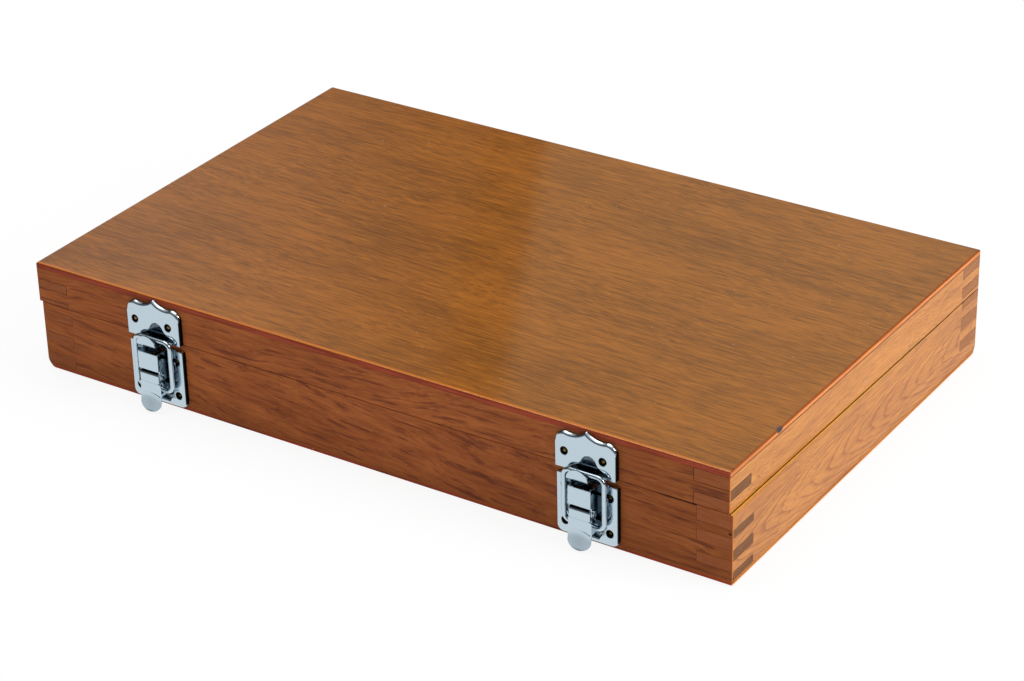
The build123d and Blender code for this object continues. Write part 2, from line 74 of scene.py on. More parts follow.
# Places that the frame gives, in millimetres
BASE_LOW, BASE_HIGH = node_range("base_front_board")
HALF_DEPTH = -BASE_LOW.y
HALF_WIDTH = BASE_HIGH.x
SEAM = BASE_HIGH.z
PANEL_LOW, PANEL_HIGH = node_range("lid_top_panel")
LID_TOP = PANEL_HIGH.z
LID_SHIFT = -(PANEL_LOW.x + PANEL_HIGH.x) / 2
FOOT_PANEL_TOP = node_range("base_bottom_panel")[1].z
LATCH_MIDDLES = {side: sum(corner.x for corner in node_range(f"{side}_latch_base_plate")) / 2
                 for side in ("left", "right")}
PLATE_LOW, PLATE_HIGH = node_range("right_latch_base_plate")
PLATE_OUT = -PLATE_LOW.y - HALF_DEPTH
STRIKE_LOW = node_range("right_latch_strike_plate")[0]
HOOK_OUT = -STRIKE_LOW.y - HALF_DEPTH
LEVER_LOW = node_range("right_latch_lever")[0]
LEVER_FRONT = -LEVER_LOW.y - HALF_DEPTH
LOOP_LOW, LOOP_HIGH = node_range("right_latch_loop")
WIRE = -(LOOP_LOW.y - LOOP_HIGH.y) / 2
LOOP_OUT = -(LOOP_LOW.y + LOOP_HIGH.y) / 2 - HALF_DEPTH
LOOP_PIVOT_HEIGHT = LOOP_LOW.z + WIRE
PIN_LOW, PIN_HIGH = node_range("right_latch_lever_pin")
PIVOT_OUT = -(PIN_LOW.y + PIN_HIGH.y) / 2 - HALF_DEPTH
PIVOT_HEIGHT = (PIN_LOW.z + PIN_HIGH.z) / 2

# Places read off the photograph, in millimetres. The lid sits askew: its front edge is off to
# the left and its back edge is flush.
LID_FRONT_SHIFT = 1.5
BOARD_EASE, PANEL_EASE, FITTING_EASE, PIN_EASE = 0.2, 0.14, 0.15, 0.12
FOOT_ROUND, FOOT_CRISP = 4.5, 0.8
STRIKE_OUT = 2.2
STRIKE_FOOT = 31.5
STRIKE_NAILS = ((8.7, 39.2), (-8.7, 39.2))
NAILS_ASIDE = 0.9
BELL_ASIDE = 1.6
TONGUE_ASIDE = 0.4
BASE_NAILS = ((10.2, 23.6), (-10.2, 23.6), (10.2, 7.5), (-10.2, 7.5))
STRIKE_NAIL_OUT, BASE_NAIL_OUT = 1.5, 1.1
NAIL_HOLE = 1.45
LOOP_CORNER = 3.1
LOOP_WIDER = 0.4
CHIP_PLACE = (168.7, -107.5, 23.15)
DENT_PLACE = (168.7, -69.2, 49.8)


class Graph:
    """Short calls for a node tree of any kind."""

    def node(self, kind, inputs=(), **settings):
        """A node with its sockets filled in order, or by name or number from a dict."""
        node = self.tree.nodes.new(kind)
        for key, value in settings.items():
            setattr(node, key, value)
        for key, value in inputs.items() if isinstance(inputs, dict) else enumerate(inputs):
            self.link(value, node.inputs[key])
        return node

    def link(self, value, socket):
        if isinstance(value, bpy.types.NodeSocket):
            self.tree.links.new(value, socket)
        else:
            socket.default_value = value

    def add(self, kind, inputs=(), **settings):
        return self.node(kind, inputs, **settings).outputs[0]

    def math(self, operation, a, b=0.0, c=0.0):
        return self.add("ShaderNodeMath", [a, b, c], operation=operation)

    def join(self, x, y, z):
        return self.add("ShaderNodeCombineXYZ", [x, y, z])


class Nodes(Graph):
    """A material's node tree. Its places are in millimetres."""

    def __init__(self, name):
        self.material = bpy.data.materials.new(name)
        self.material.use_nodes = True
        self.tree = self.material.node_tree
        self.shader = self.tree.nodes["Principled BSDF"]
        self.output = self.tree.nodes["Material Output"]
        source = self.node("ShaderNodeTexCoord").outputs
        self.place = self.mapped(source["Object"], (1 / MM, 1 / MM, 1 / MM))
        self.x, self.y, self.z = self.split(self.place)
        self.facing = dict(zip("xyz", self.split(source["Normal"])))

    def total(self, *terms):
        """Sum of (weight, value) pairs."""
        result = 0.0
        for weight, value in terms:
            result = self.math("MULTIPLY_ADD", value, weight, result)
        return result

    def both(self, a, b):
        return self.math("MULTIPLY", a, b)

    def rest(self, share):
        return self.math("SUBTRACT", 1.0, share)

    def split(self, vector):
        return self.node("ShaderNodeSeparateXYZ", [vector]).outputs

    def mapped(self, vector, scale, shift=(0, 0, 0)):
        return self.add("ShaderNodeMapping", {"Vector": vector, "Location": shift, "Scale": scale})

    def noise(self, vector, scale=1.0, detail=2.0, roughness=0.5, seed=0.0):
        """Noise whose spots are 1 / scale millimetres across. scale may be three numbers."""
        scales = scale if isinstance(scale, tuple) else (scale, scale, scale)
        where = self.mapped(vector, scales, (seed, 2.3 * seed, 3.1 * seed))
        return self.add("ShaderNodeTexNoise", {"Vector": where, "Scale": 1.0, "Detail": detail,
                                               "Roughness": roughness})

    def ramp(self, value, low, high, from_value=0.0, to_value=1.0):
        return self.add("ShaderNodeMapRange", {"Value": value, "From Min": low, "From Max": high,
                                               "To Min": from_value, "To Max": to_value}, clamp=True)

    def square_to(self, axis):
        """How squarely a face looks along an axis, either way."""
        return self.math("ABSOLUTE", self.facing[axis])

    def mix(self, share, a, b):
        return self.node("ShaderNodeMix", {0: share, 6: a, 7: b}, data_type="RGBA").outputs[2]

    def blend(self, share, a, b):
        """One shader over another."""
        return self.add("ShaderNodeMixShader", [share, a, b])

    def bump(self, height, strength, distance):
        return self.add("ShaderNodeBump", {"Strength": strength, "Distance": distance * MM,
                                           "Height": height})

    def set(self, **values):
        """Set the shader's own sockets, named with spaces as underscores."""
        for key, value in values.items():
            self.link(value, self.shader.inputs[key.replace("_", " ")])


def colour(*screen):
    """A colour as it shows on a screen, from 0 to 255, turned linear."""
    shares = [value / 255 for value in screen]
    return (*(v / 12.92 if v <= 0.04045 else ((v + 0.055) / 1.055) ** 2.4 for v in shares), 1.0)


# Wood

def wood_skin(s, along, across, deep, palette, seed, wander=1.0, slope=0.0, weights=(1, 1, 1), flames=None,
              streaks=0.0):
    """Colour of planed wood. Fibres run along one axis, wander a little and cross the board
    at a slope. weights set the fine, middle and broad streaks, flames the growth rings."""
    dark, light, pore = palette
    place = s.join(along, across, deep)
    slow = s.noise(place, (0.008, 0.014, 0.014), 1.0, seed=seed)
    quick = s.noise(place, (0.028, 0.05, 0.05), 1.0, seed=seed + 4)
    drift = s.total((slope, along), (9.0 * wander, slow), (3.0 * wander, quick))
    flow = s.join(along, s.math("ADD", across, drift), s.math("ADD", deep, drift))
    fine = s.noise(flow, (0.075, 1.9, 1.9), 3.0, 0.62, seed)
    middle = s.noise(flow, (0.032, 0.62, 0.62), 2.0, 0.55, seed + 1)
    broad = s.noise(flow, (0.011, 0.16, 0.16), 2.0, 0.5, seed + 2)
    cloud = s.noise(place, (0.012, 0.03, 0.03), 2.0, 0.5, seed + 3)
    shares = [0.85 * weights[0], 0.95 * weights[1], 0.7 * weights[2], 0.45]
    tone = s.total(*zip(shares, (fine, middle, broad, cloud)))
    tone = s.math("SUBTRACT", tone, 0.5 * sum(shares) - 0.5)
    if flames:
        spacing, bend, centre, strength = flames
        height = s.math("SUBTRACT", across, centre)
        warp = s.total((22.0, s.noise(place, (0.03, 0.09, 0.09), 2.0, 0.5, seed + 6)),
                       (7.0, s.noise(place, (0.12, 0.42, 0.42), 3.0, 0.6, seed + 7)))
        rings = s.total((1.0, along), (-bend, s.both(height, height)), (1.0, warp))
        ring = s.math("FRACT", s.math("DIVIDE", rings, spacing))
        line = s.both(s.math("POWER", ring, 6.0), s.ramp(ring, 1.0, 0.95))
        broken = s.ramp(s.noise(place, (0.06, 0.2, 0.2), 2.0, 0.5, seed + 8), 0.36, 0.6, 0.25, 1.0)
        tone = s.math("MULTIPLY_ADD", s.both(line, broken), -strength, tone)
    skin = s.mix(s.ramp(tone, 0.22, 0.78), dark, light)
    if streaks:
        wisp = s.noise(flow, (0.035, 0.42, 0.42), 3.0, 0.6, seed + 11)
        skin = s.mix(s.both(s.ramp(wisp, 0.54, 0.66), streaks), skin, STREAK)
    dash = s.noise(flow, (0.13, 3.2, 3.2), 1.0, 0.5, seed + 5)
    patch = s.noise(flow, (0.03, 0.2, 0.2), 1.0, 0.5, seed + 9)
    pores = s.both(s.ramp(dash, 0.56, 0.68), s.ramp(patch, 0.4, 0.62))
    return s.mix(s.both(pores, 0.6), skin, pore), pores


def end_grain(s, shade, seed):
    """Sawn ends: close specks with faint bowed rings."""
    speck = s.noise(s.place, 1.9, 3.0, 0.7, seed)
    ring = s.noise(s.place, (0.12, 0.12, 0.7), 2.0, 0.5, seed)
    tone = s.total((0.6, speck), (0.4, ring))
    return s.mix(s.ramp(tone, 0.34, 0.66), s.mix(0.22, shade, BLACK), s.mix(0.06, shade, (1, 0.8, 0.5, 1)))


def spot(s, middle, reach):
    """A soft mark around one place, as wide as reach along each axis."""
    parts = [s.math("DIVIDE", s.math("SUBTRACT", here, place), size)
             for here, place, size in zip((s.x, s.y, s.z), middle, reach)]
    return s.ramp(s.total(*[(1.0, s.both(part, part)) for part in parts]), 1.2, 0.5)


def varnish(s, skin, pores, coat):
    """Brushed varnish over the wood, a little wavy, with nibs of dust in it."""
    sag = s.noise(s.place, 0.06, 2.0, 0.5)
    brush = s.noise(s.place, (0.05, 0.35, 0.35), 2.0, 0.5, 3.0)
    nib = s.ramp(s.noise(s.place, 0.7, 0.0, 0.5, 7.0), 0.85, 0.9)
    relief = s.total((0.07, sag), (0.014, brush), (-0.005, pores), (0.05, nib))
    s.set(Base_Color=s.mix(s.both(nib, 0.3), skin, (0.75, 0.62, 0.45, 1)), Roughness=0.5,
          Specular_IOR_Level=0.04, Coat_Weight=coat, Coat_Roughness=0.05, Coat_IOR=1.5,
          Coat_Normal=s.bump(relief, 1.0, 0.12), Normal=s.bump(pores, 0.3, -0.15))
    return s.material


# Woods are dark, light and pore. A red brown one makes the frames, a yellower veneer the panels.
BLACK = (0, 0, 0, 1)
FRONT_WOOD = (colour(142, 74, 40), colour(196, 114, 60), colour(100, 48, 32))
SIDE_WOOD = (colour(164, 98, 42), colour(218, 146, 66), colour(136, 74, 40))
VENEER = (colour(117, 70, 25), colour(167, 101, 36), colour(80, 50, 32))
FRONT_FINGER_END = colour(164, 86, 44)
SIDE_FINGER_END = colour(138, 89, 56)
BACK_FINGER_END = colour(184, 120, 78)
CORNER_HIGHLIGHT = colour(228, 138, 68)
JOINT_SHADOW = colour(58, 30, 20)
LEDGE_HIGHLIGHT = colour(236, 188, 92)
SEAM_SHADOW = colour(72, 54, 22)
DENT = colour(70, 66, 70)
STREAK = colour(96, 44, 38)
RIM_RED = colour(178, 78, 54)
RIM_DARK = colour(128, 56, 26)
RIM_ORANGE = colour(250, 172, 100)
SIDE_HIGHLIGHT_TAN = colour(236, 152, 86)
PANEL_LOWER_DARK_LINE = colour(112, 66, 60)


def frame_material(board, seed, slope=0.02, weights=(1.0, 1.0, 1.0), flames=None, coat=0.03, streaks=0.6):
    """A frame board: long grain on its faces and end grain on its fingers, dark in the joints with
    glue and painted shade, and with a painted highlight along the case's upright corners."""
    s = Nodes(board + "_wood")
    lengthwise = board.endswith(("front", "back"))
    along, deep = (s.x, s.y) if lengthwise else (s.y, s.x)
    palette = FRONT_WOOD if lengthwise else SIDE_WOOD
    skin, pores = wood_skin(s, along, s.z, deep, palette, seed, 1.3, slope, weights, flames, streaks)
    ends = s.ramp(s.square_to("x" if lengthwise else "y"), 0.6, 0.8)
    end_shade = FRONT_FINGER_END
    if lengthwise:
        end_shade = BACK_FINGER_END if board.endswith("back") else SIDE_FINGER_END
    skin = s.mix(ends, skin, end_grain(s, end_shade, seed))
    if lengthwise:
        skin = s.mix(s.ramp(s.x, 30.0, 150.0, 0.0, 0.2), skin, BLACK)
        skin = s.mix(s.ramp(s.x, -60.0, -160.0, 0.0, 0.1), skin, palette[1])
    # Past the lid's right side the top face has a painted shadow by the lid, then a painted highlight, then
    # the light wood colour
    slant = LID_FRONT_SHIFT / (2 * HALF_DEPTH)
    from_lid = s.math("ADD", s.total((1.0, s.x), (-slant, s.y)), LID_FRONT_SHIFT / 2 - HALF_WIDTH)
    ledge = s.mix(s.ramp(from_lid, 0.2, 0.35), SEAM_SHADOW, LEDGE_HIGHLIGHT)
    ledge = s.mix(s.ramp(from_lid, 0.6, 0.8), ledge, palette[1])
    outer = s.both(s.ramp(from_lid, -0.5, -0.3), s.ramp(s.facing["z"], 0.8, 0.95, 0.0, 0.85))
    skin = s.mix(outer, skin, ledge)
    if board == "base_front":
        skin = s.mix(spot(s, CHIP_PLACE, (0.9, 1.0, 0.55)), skin, JOINT_SHADOW)
        # A painted shadow in the gap below the lid, towards the right corner
        gap = s.both(s.ramp(s.z, SEAM - 0.5, SEAM - 0.3), s.ramp(s.x, 134.0, 142.0))
        skin = s.mix(s.both(gap, 0.9), skin, JOINT_SHADOW)
    askew = LID_FRONT_SHIFT if board.startswith("lid") else 0.0
    out_x = s.math("ABSOLUTE", s.math("ADD", s.x, askew))
    corner = s.both(s.ramp(out_x, HALF_WIDTH - 0.42, HALF_WIDTH - 0.25),
                    s.ramp(s.math("ABSOLUTE", s.y), HALF_DEPTH - 0.42, HALF_DEPTH - 0.25))
    # Glue and painted shade in the joints, kept off the corner's painted highlight
    joint = s.both(s.node("ShaderNodeAttribute", attribute_name="joint").outputs["Fac"], s.rest(corner))
    skin = s.mix(s.both(joint, 0.85), skin, JOINT_SHADOW)
    # A painted highlight along the upright corner
    skin = s.mix(s.both(corner, 0.75), skin, CORNER_HIGHLIGHT)
    faces_out = s.ramp(s.square_to("y" if lengthwise else "x"), 0.6, 0.9, 0.02, coat)
    return varnish(s, skin, s.both(pores, s.rest(ends)), faces_out)


def lid_panel_material():
    """The lid's veneer, darker along its front and right edges, with painted highlights behind its front
    edge and on its right side.
    """
    s = Nodes("lid_panel_veneer")
    skin, pores = wood_skin(s, s.x, s.y, s.z, VENEER, 1.3, 0.8, 0.03, (1.7, 0.65, 0.5), None, 0.12)
    from_front = s.math("ADD", s.y, HALF_DEPTH)
    skew = LID_FRONT_SHIFT / 2
    from_right = s.math("ADD", s.total((-1.0, s.x), (skew / HALF_DEPTH, s.y)), HALF_WIDTH - skew)
    ragged = s.math("MULTIPLY_ADD", s.noise(s.place, (0.1, 0.6, 0.6), 2.0), 1.2, -0.6)
    # A painted highlight in a ragged band behind the front edge
    glow = s.ramp(s.math("ADD", from_front, ragged), 2.2, 0.9)
    skin = s.mix(s.both(glow, 0.75), skin, colour(205, 116, 34))
    skin = s.mix(s.ramp(from_front, 0.4, 0.15), skin, RIM_DARK)
    skin = s.mix(s.both(s.ramp(from_right, 1.1, 0.3), 0.7), skin, colour(128, 60, 26))
    front_face = s.ramp(s.facing["y"], -0.5, -0.8)
    below_top = s.math("SUBTRACT", LID_TOP, s.z)
    red = s.mix(s.ramp(below_top, 0.7, 0.35), RIM_RED, RIM_DARK)
    red = s.mix(s.ramp(s.noise(s.place, (0.04, 0.9, 0.9), 2.0), 0.38, 0.62, 0.0, 0.75), red, RIM_DARK)
    skin = s.mix(front_face, skin, red)
    # The right side: a painted highlight in tan, darker towards the top and with a dark line along its foot
    side_face = s.ramp(s.square_to("x"), 0.5, 0.8)
    tan = s.mix(s.ramp(s.noise(s.place, (1.0, 0.05, 1.4), 3.0), 0.35, 0.65), SIDE_HIGHLIGHT_TAN, colour(198, 118, 62))
    tan = s.mix(s.ramp(below_top, 0.8, 0.4), tan, colour(150, 72, 30))
    tan = s.mix(s.ramp(s.z, PANEL_LOW.z + 0.45, PANEL_LOW.z + 0.15), tan, PANEL_LOWER_DARK_LINE)
    skin = s.mix(side_face, skin, tan)
    skin = s.mix(spot(s, DENT_PLACE, (1.8, 2.4, 1.1)), skin, DENT)
    return varnish(s, skin, pores, s.ramp(s.facing["z"], 0.5, 0.95, 0.06, 1.0))


def foot_panel_material():
    """The base's panel, red along the front and orange where the light catches its side."""
    s = Nodes("foot_panel_veneer")
    skin, pores = wood_skin(s, s.x, s.y, s.z, VENEER, 6.1, 1.0, 0.0)
    blot = s.ramp(s.noise(s.place, (0.04, 0.5, 0.5), 2.0), 0.5, 0.66)
    red = s.mix(blot, colour(186, 66, 40), RIM_DARK)
    red = s.mix(s.ramp(s.z, 1.1, 1.5), red, s.mix(0.35, FRONT_WOOD[0], FRONT_WOOD[1]))
    skin = s.mix(s.ramp(s.facing["y"], -0.25, -0.5), skin, red)
    grain = s.ramp(s.noise(s.place, (1.0, 0.03, 1.6), 3.0), 0.35, 0.65)
    orange = s.mix(s.ramp(s.z, 1.15, 1.3), RIM_ORANGE, colour(112, 58, 34))
    orange = s.mix(s.ramp(s.z, 1.6, 1.75), orange, s.mix(grain, SIDE_WOOD[0], SIDE_WOOD[1]))
    skin = s.mix(s.ramp(s.square_to("x"), 0.25, 0.5), skin, orange)
    return varnish(s, skin, pores, 0.05)


def tray_material():
    """Pale close grained wood with a satin finish."""
    s = Nodes("tray_maple")
    palette = (colour(196, 150, 98), colour(232, 196, 146), colour(160, 112, 70))
    skin, pores = wood_skin(s, s.x, s.y, s.z, palette, 11.0, 0.6, 0.0, (1, 0.8, 0.6))
    return varnish(s, skin, pores, 0.15)


# Metal and felt

def chrome_material():
    """Bright plating, darkened by painted shade where the sheet's mark says so."""
    s = Nodes("latch_chrome")
    smudge = s.noise(s.place, 0.42, 3.0, 0.6)
    speck = s.ramp(s.noise(s.place, 2.2, 1.0, 0.5, 2.0), 0.72, 0.8)
    tint = s.mix(s.both(speck, 0.5), colour(188, 204, 214), colour(92, 100, 108))
    dull = s.node("ShaderNodeAttribute", attribute_name="dull").outputs["Fac"]
    # Painted shade from the sheet's mark: grey up to a half, near black beyond
    tint = s.mix(s.ramp(dull, 0.0, 0.5), tint, colour(84, 98, 108))
    tint = s.mix(s.ramp(dull, 0.5, 1.0), tint, colour(14, 16, 20))
    s.set(Base_Color=tint, Metallic=1.0, Roughness=s.ramp(smudge, 0.35, 0.75, 0.07, 0.16),
          Normal=s.bump(s.noise(s.place, 0.3, 2.0), 0.2, 0.12))
    return s.material


def brass_material(name, bright, dull, rough):
    """Brass, tarnished in patches."""
    s = Nodes(name)
    patina_and_shade = s.noise(s.place, 0.9, 3.0, 0.6)
    s.set(Base_Color=s.mix(s.ramp(patina_and_shade, 0.38, 0.66), bright, dull), Metallic=1.0,
          Roughness=s.ramp(patina_and_shade, 0.3, 0.8, rough, rough + 0.25), Normal=s.bump(patina_and_shade, 0.4, 0.08))
    return s.material


def felt_material():
    """Hairs, gathered in soft tufts."""
    s = Nodes("green_felt")
    hair = s.noise(s.place, 2.6, 4.0, 0.7)
    tuft = s.noise(s.place, 0.16, 3.0, 0.6)
    tone = s.total((0.7, hair), (0.3, tuft))
    s.set(Base_Color=s.mix(s.ramp(tone, 0.35, 0.65), colour(22, 46, 34), colour(52, 92, 68)), Roughness=0.95,
          Sheen_Weight=0.4, Normal=s.bump(hair, 0.6, 0.4))
    return s.material


CHROME = chrome_material()
NAIL_BRASS = brass_material("nail_brass", colour(150, 122, 66), colour(52, 40, 20), 0.3)
HINGE_BRASS = brass_material("hinge_brass", colour(212, 178, 108), colour(150, 118, 62), 0.25)
FELT = felt_material()
TRAY = tray_material()
FOOT_PANEL = foot_panel_material()
LID_PANEL = lid_panel_material()
BOARDS = {board: frame_material(board, **how) for board, how in {
    "lid_front": {"seed": 2.1, "slope": -0.04, "weights": (1.0, 0.7, 0.5)},
    "lid_back": {"seed": 14.2},
    "lid_left": {"seed": 16.5, "coat": 0.6},
    "lid_right": {"seed": 5.3, "weights": (1.0, 0.4, 0.35), "coat": 0.45, "streaks": 0.15},
    "base_front": {"seed": 3.7, "slope": 0.1, "weights": (0.7, 0.7, 0.75), "flames": (34.0, 0.9, 40.0, 0.3)},
    "base_back": {"seed": 15.5},
    "base_left": {"seed": 17.5, "coat": 0.6},
    "base_right": {"seed": 8.9, "slope": 0.0, "weights": (0.9, 0.35, 0.3), "coat": 0.45, "streaks": 0.25,
                   "flames": (13.0, 0.34, 14.0, 0.75)}}.items()}


# Pieces and meshes

def painted(obj, material):
    obj.data.materials.clear()
    obj.data.materials.append(material)
    return obj


def finish_piece(obj, node):
    """The new piece in place of its CAD node."""
    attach(obj, NODES[node]["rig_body"])
    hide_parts(node)
    return obj


def new_object(name, mesh):
    obj = bpy.data.objects.new(name, mesh)
    bpy.context.scene.collection.objects.link(obj)
    return obj


def built(name, build):
    """A mesh object of what a bmesh holds."""
    mesh = bpy.data.meshes.new(name)
    build.to_mesh(mesh)
    build.free()
    return new_object(name, mesh)


def settled(obj):
    """The object with its modifiers worked into its mesh."""
    graph = bpy.context.evaluated_depsgraph_get()
    graph.update()
    mesh = bpy.data.meshes.new_from_object(obj.evaluated_get(graph), depsgraph=graph)
    obj.modifiers.clear()
    obj.data = mesh
    return obj


def squareness(normal):
    return max(abs(part) for part in normal)


def eased(obj, width, angle=25):
    """Sharp edges taken off by a small bevel, in millimetres. The flats keep level normals."""
    bevel = obj.modifiers.new("ease", "BEVEL")
    bevel.width = width * MM
    bevel.segments = 2
    bevel.limit_method = "ANGLE"
    bevel.angle_limit = math.radians(angle)
    bevel.harden_normals = True
    bevel.use_clamp_overlap = True
    for polygon in obj.data.polygons:
        polygon.use_smooth = True
    mesh = settled(obj).data
    broadest = {}
    for polygon in mesh.polygons:
        for vertex in polygon.vertices:
            if vertex not in broadest or polygon.area > broadest[vertex].area:
                broadest[vertex] = polygon
    normals = [tuple(corner.vector) for corner in mesh.corner_normals]
    level = 0.9999
    for polygon in mesh.polygons:
        own = squareness(polygon.normal) > level
        for corner, vertex in zip(polygon.loop_indices, polygon.vertices):
            flat = polygon if own else broadest[vertex]
            if own or (flat.normal.dot(polygon.normal) > 0.5 and squareness(flat.normal) > level):
                normals[corner] = tuple(flat.normal)
    mesh.normals_split_custom_set(normals)
    return obj


def eased_copy(node, name, width, moved=None):
    """A clean copy of a CAD node, its loose triangles joined and its edges eased. moved gives
    each vertex its new place in millimetres."""
    build = bmesh.new()
    build.from_mesh(NODES[node].data)
    bmesh.ops.remove_doubles(build, verts=build.verts, dist=0.002 * MM)
    if moved:
        for vertex in build.verts:
            vertex.co = moved(vertex.co / MM) * MM
        bmesh.ops.remove_doubles(build, verts=build.verts, dist=0.06 * MM)
        seam = [vertex for vertex in build.verts if abs(vertex.co.z / MM - FOOT_PANEL_TOP) < 0.02]
        bmesh.ops.remove_doubles(build, verts=seam, dist=0.3 * MM)
    bmesh.ops.dissolve_limit(build, angle_limit=math.radians(0.4), verts=build.verts, edges=build.edges)
    return eased(built(name, build), width)


def joined(name, pieces):
    """One object from several, each with its own shading kept."""
    for obj in bpy.context.view_layer.objects:
        obj.select_set(obj in pieces)
    bpy.context.view_layer.objects.active = pieces[0]
    bpy.ops.object.join()
    pieces[0].name = pieces[0].data.name = name
    return pieces[0]


# Drawn lines, as lists of points

def arc(middle, radius, start, stop, count=8):
    """Points on an arc between two angles in degrees."""
    angles = [math.radians(start + (stop - start) * k / count) for k in range(count + 1)]
    return [(middle[0] + radius * math.cos(a), middle[1] + radius * math.sin(a)) for a in angles]


def bow(start, through, stop, count=8):
    """Points on the arc through three places."""
    a, b, c = (complex(*point) for point in (start, through, stop))
    w = (c - a) / (b - a)
    centre = (b - a) * (w - abs(w) ** 2) / (2j * w.imag) + a
    radius = abs(a - centre)
    turns = [math.atan2((p - centre).imag, (p - centre).real) for p in (a, b, c)]
    full = 2 * math.pi
    sweep = (turns[2] - turns[0]) % full
    if (turns[1] - turns[0]) % full > sweep:
        sweep -= full
    steps = [turns[0] + sweep * k / count for k in range(count + 1)]
    return [(centre.real + radius * math.cos(a), centre.imag + radius * math.sin(a)) for a in steps]


def rounded_box(half, low, high, corner):
    """A rounded rectangle, drawn from its lower right corner on."""
    right, foot, top = half - corner, low + corner, high - corner
    middles = ((right, foot), (right, top), (-right, top), (-right, foot))
    return [point for k, middle in enumerate(middles) for point in arc(middle, corner, -90 + 90 * k, 90 * k)]


def way_along(line):
    """How far each point of a drawn line lies from its start."""
    lengths = [0.0]
    for (a, b), (c, d) in zip(line, line[1:]):
        lengths.append(lengths[-1] + math.hypot(c - a, d - b))
    return lengths


def mirrored(points):
    """A right half drawn upwards, completed by its left half drawn downwards."""
    return points + [(-x, y) for x, y in reversed(points) if abs(x) > 0.001]


def spaced(line, gap, closed=True):
    """Points along a line, no further apart than gap."""
    ends = line + line[:1] if closed else line
    points = []
    for (x0, y0), (x1, y1) in zip(ends, ends[1:]):
        count = max(1, math.ceil(math.hypot(x1 - x0, y1 - y0) / gap))
        points += [(x0 + (x1 - x0) * k / count, y0 + (y1 - y0) * k / count) for k in range(count)]
    return points if closed else points + [line[-1]]


def out_of(line, closed=True):
    """Directions square to a line at each of its points, to the right of its run."""
    points = np.array(line)
    before, after = np.roll(points, 1, 0), np.roll(points, -1, 0)
    if not closed:
        before[0], after[-1] = points[0], points[-1]
    run = after - before
    run /= np.linalg.norm(run, axis=1, keepdims=True) + 1e-9
    return np.stack([run[:, 1], -run[:, 0]], 1)


def distance(points, line, closed=True):
    """Shortest way from each point to a line."""
    a = np.array(line, float)
    b = np.roll(a, -1, 0)
    if not closed:
        a, b = a[:-1], b[:-1]
    run = b - a
    away = points[:, None, :] - a
    share = np.clip((away * run).sum(2) / ((run * run).sum(1) + 1e-12), 0, 1)
    return np.linalg.norm(away - share[..., None] * run, axis=2).min(1)


def within(points, loop):
    """Whether each point lies inside a closed line."""
    x, y = points[:, 0], points[:, 1]
    inside = np.zeros(len(points), bool)
    for (x0, y0), (x1, y1) in zip(loop, loop[1:] + loop[:1]):
        crossing = (y0 > y) != (y1 > y)
        inside ^= crossing & (x < (x1 - x0) * (y - y0) / (y1 - y0 if y1 != y0 else 1) + x0)
    return inside


def step(value):
    """A smooth rise from 0 to 1."""
    value = np.clip(value, 0, 1)
    return value * value * (3 - 2 * value)


def rim_drop(from_edge, radius):
    """How far a rounded edge has fallen at each distance from the outline."""
    run = np.clip(radius - from_edge, 0, radius)
    return radius - np.sqrt(radius * radius - run * run)


def from_nails(points, nails):
    """Way from each point to the nearest nail's middle."""
    return np.min([np.hypot(points[:, 0] - x, points[:, 1] - z) for x, z in nails], axis=0)


def dimple(points, nails):
    """How deep the nails have drawn the sheet in round their holes."""
    return 0.25 * step((NAIL_HOLE + 0.55 - from_nails(points, nails)) / 0.5)


def patina_and_shade(points, half, nails, inside):
    """How much painted shade darkens the plating: in the pressed shape, round the nails and on the right
    side.
    """
    turned_away = step((points[:, 0] - half + 0.52) / 0.25)
    rings = step((NAIL_HOLE + 0.45 - from_nails(points, nails)) / 0.2)
    return np.maximum.reduce([inside, turned_away, rings])


def slopes(height, points, reach=0.03):
    du, dv = np.array([reach, 0]), np.array([0, reach])
    return [(height(points + d) - height(points - d)) / (2 * reach) for d in (du, dv)]


def in_sheet(points, loops):
    """Whether each point lies inside the outline and outside the holes."""
    inside = within(points, loops[0])
    for hole in loops[1:]:
        inside &= ~within(points, hole)
    return inside


def thinned(points, gap, taken):
    """Those of the points that keep a gap between each other and from the points taken."""
    cells = {}

    def cell(point):
        return math.floor(point[0] / gap), math.floor(point[1] / gap)

    for point in taken:
        cells.setdefault(cell(point), []).append(point)
    kept = []
    for point in points:
        i, j = cell(point)
        near = [other for a in (i - 1, i, i + 1) for b in (j - 1, j, j + 1)
                for other in cells.get((a, b), [])]
        if all(math.hypot(other[0] - point[0], other[1] - point[1]) >= gap for other in near):
            kept.append(point)
            cells.setdefault((i, j), []).append(point)
    return kept


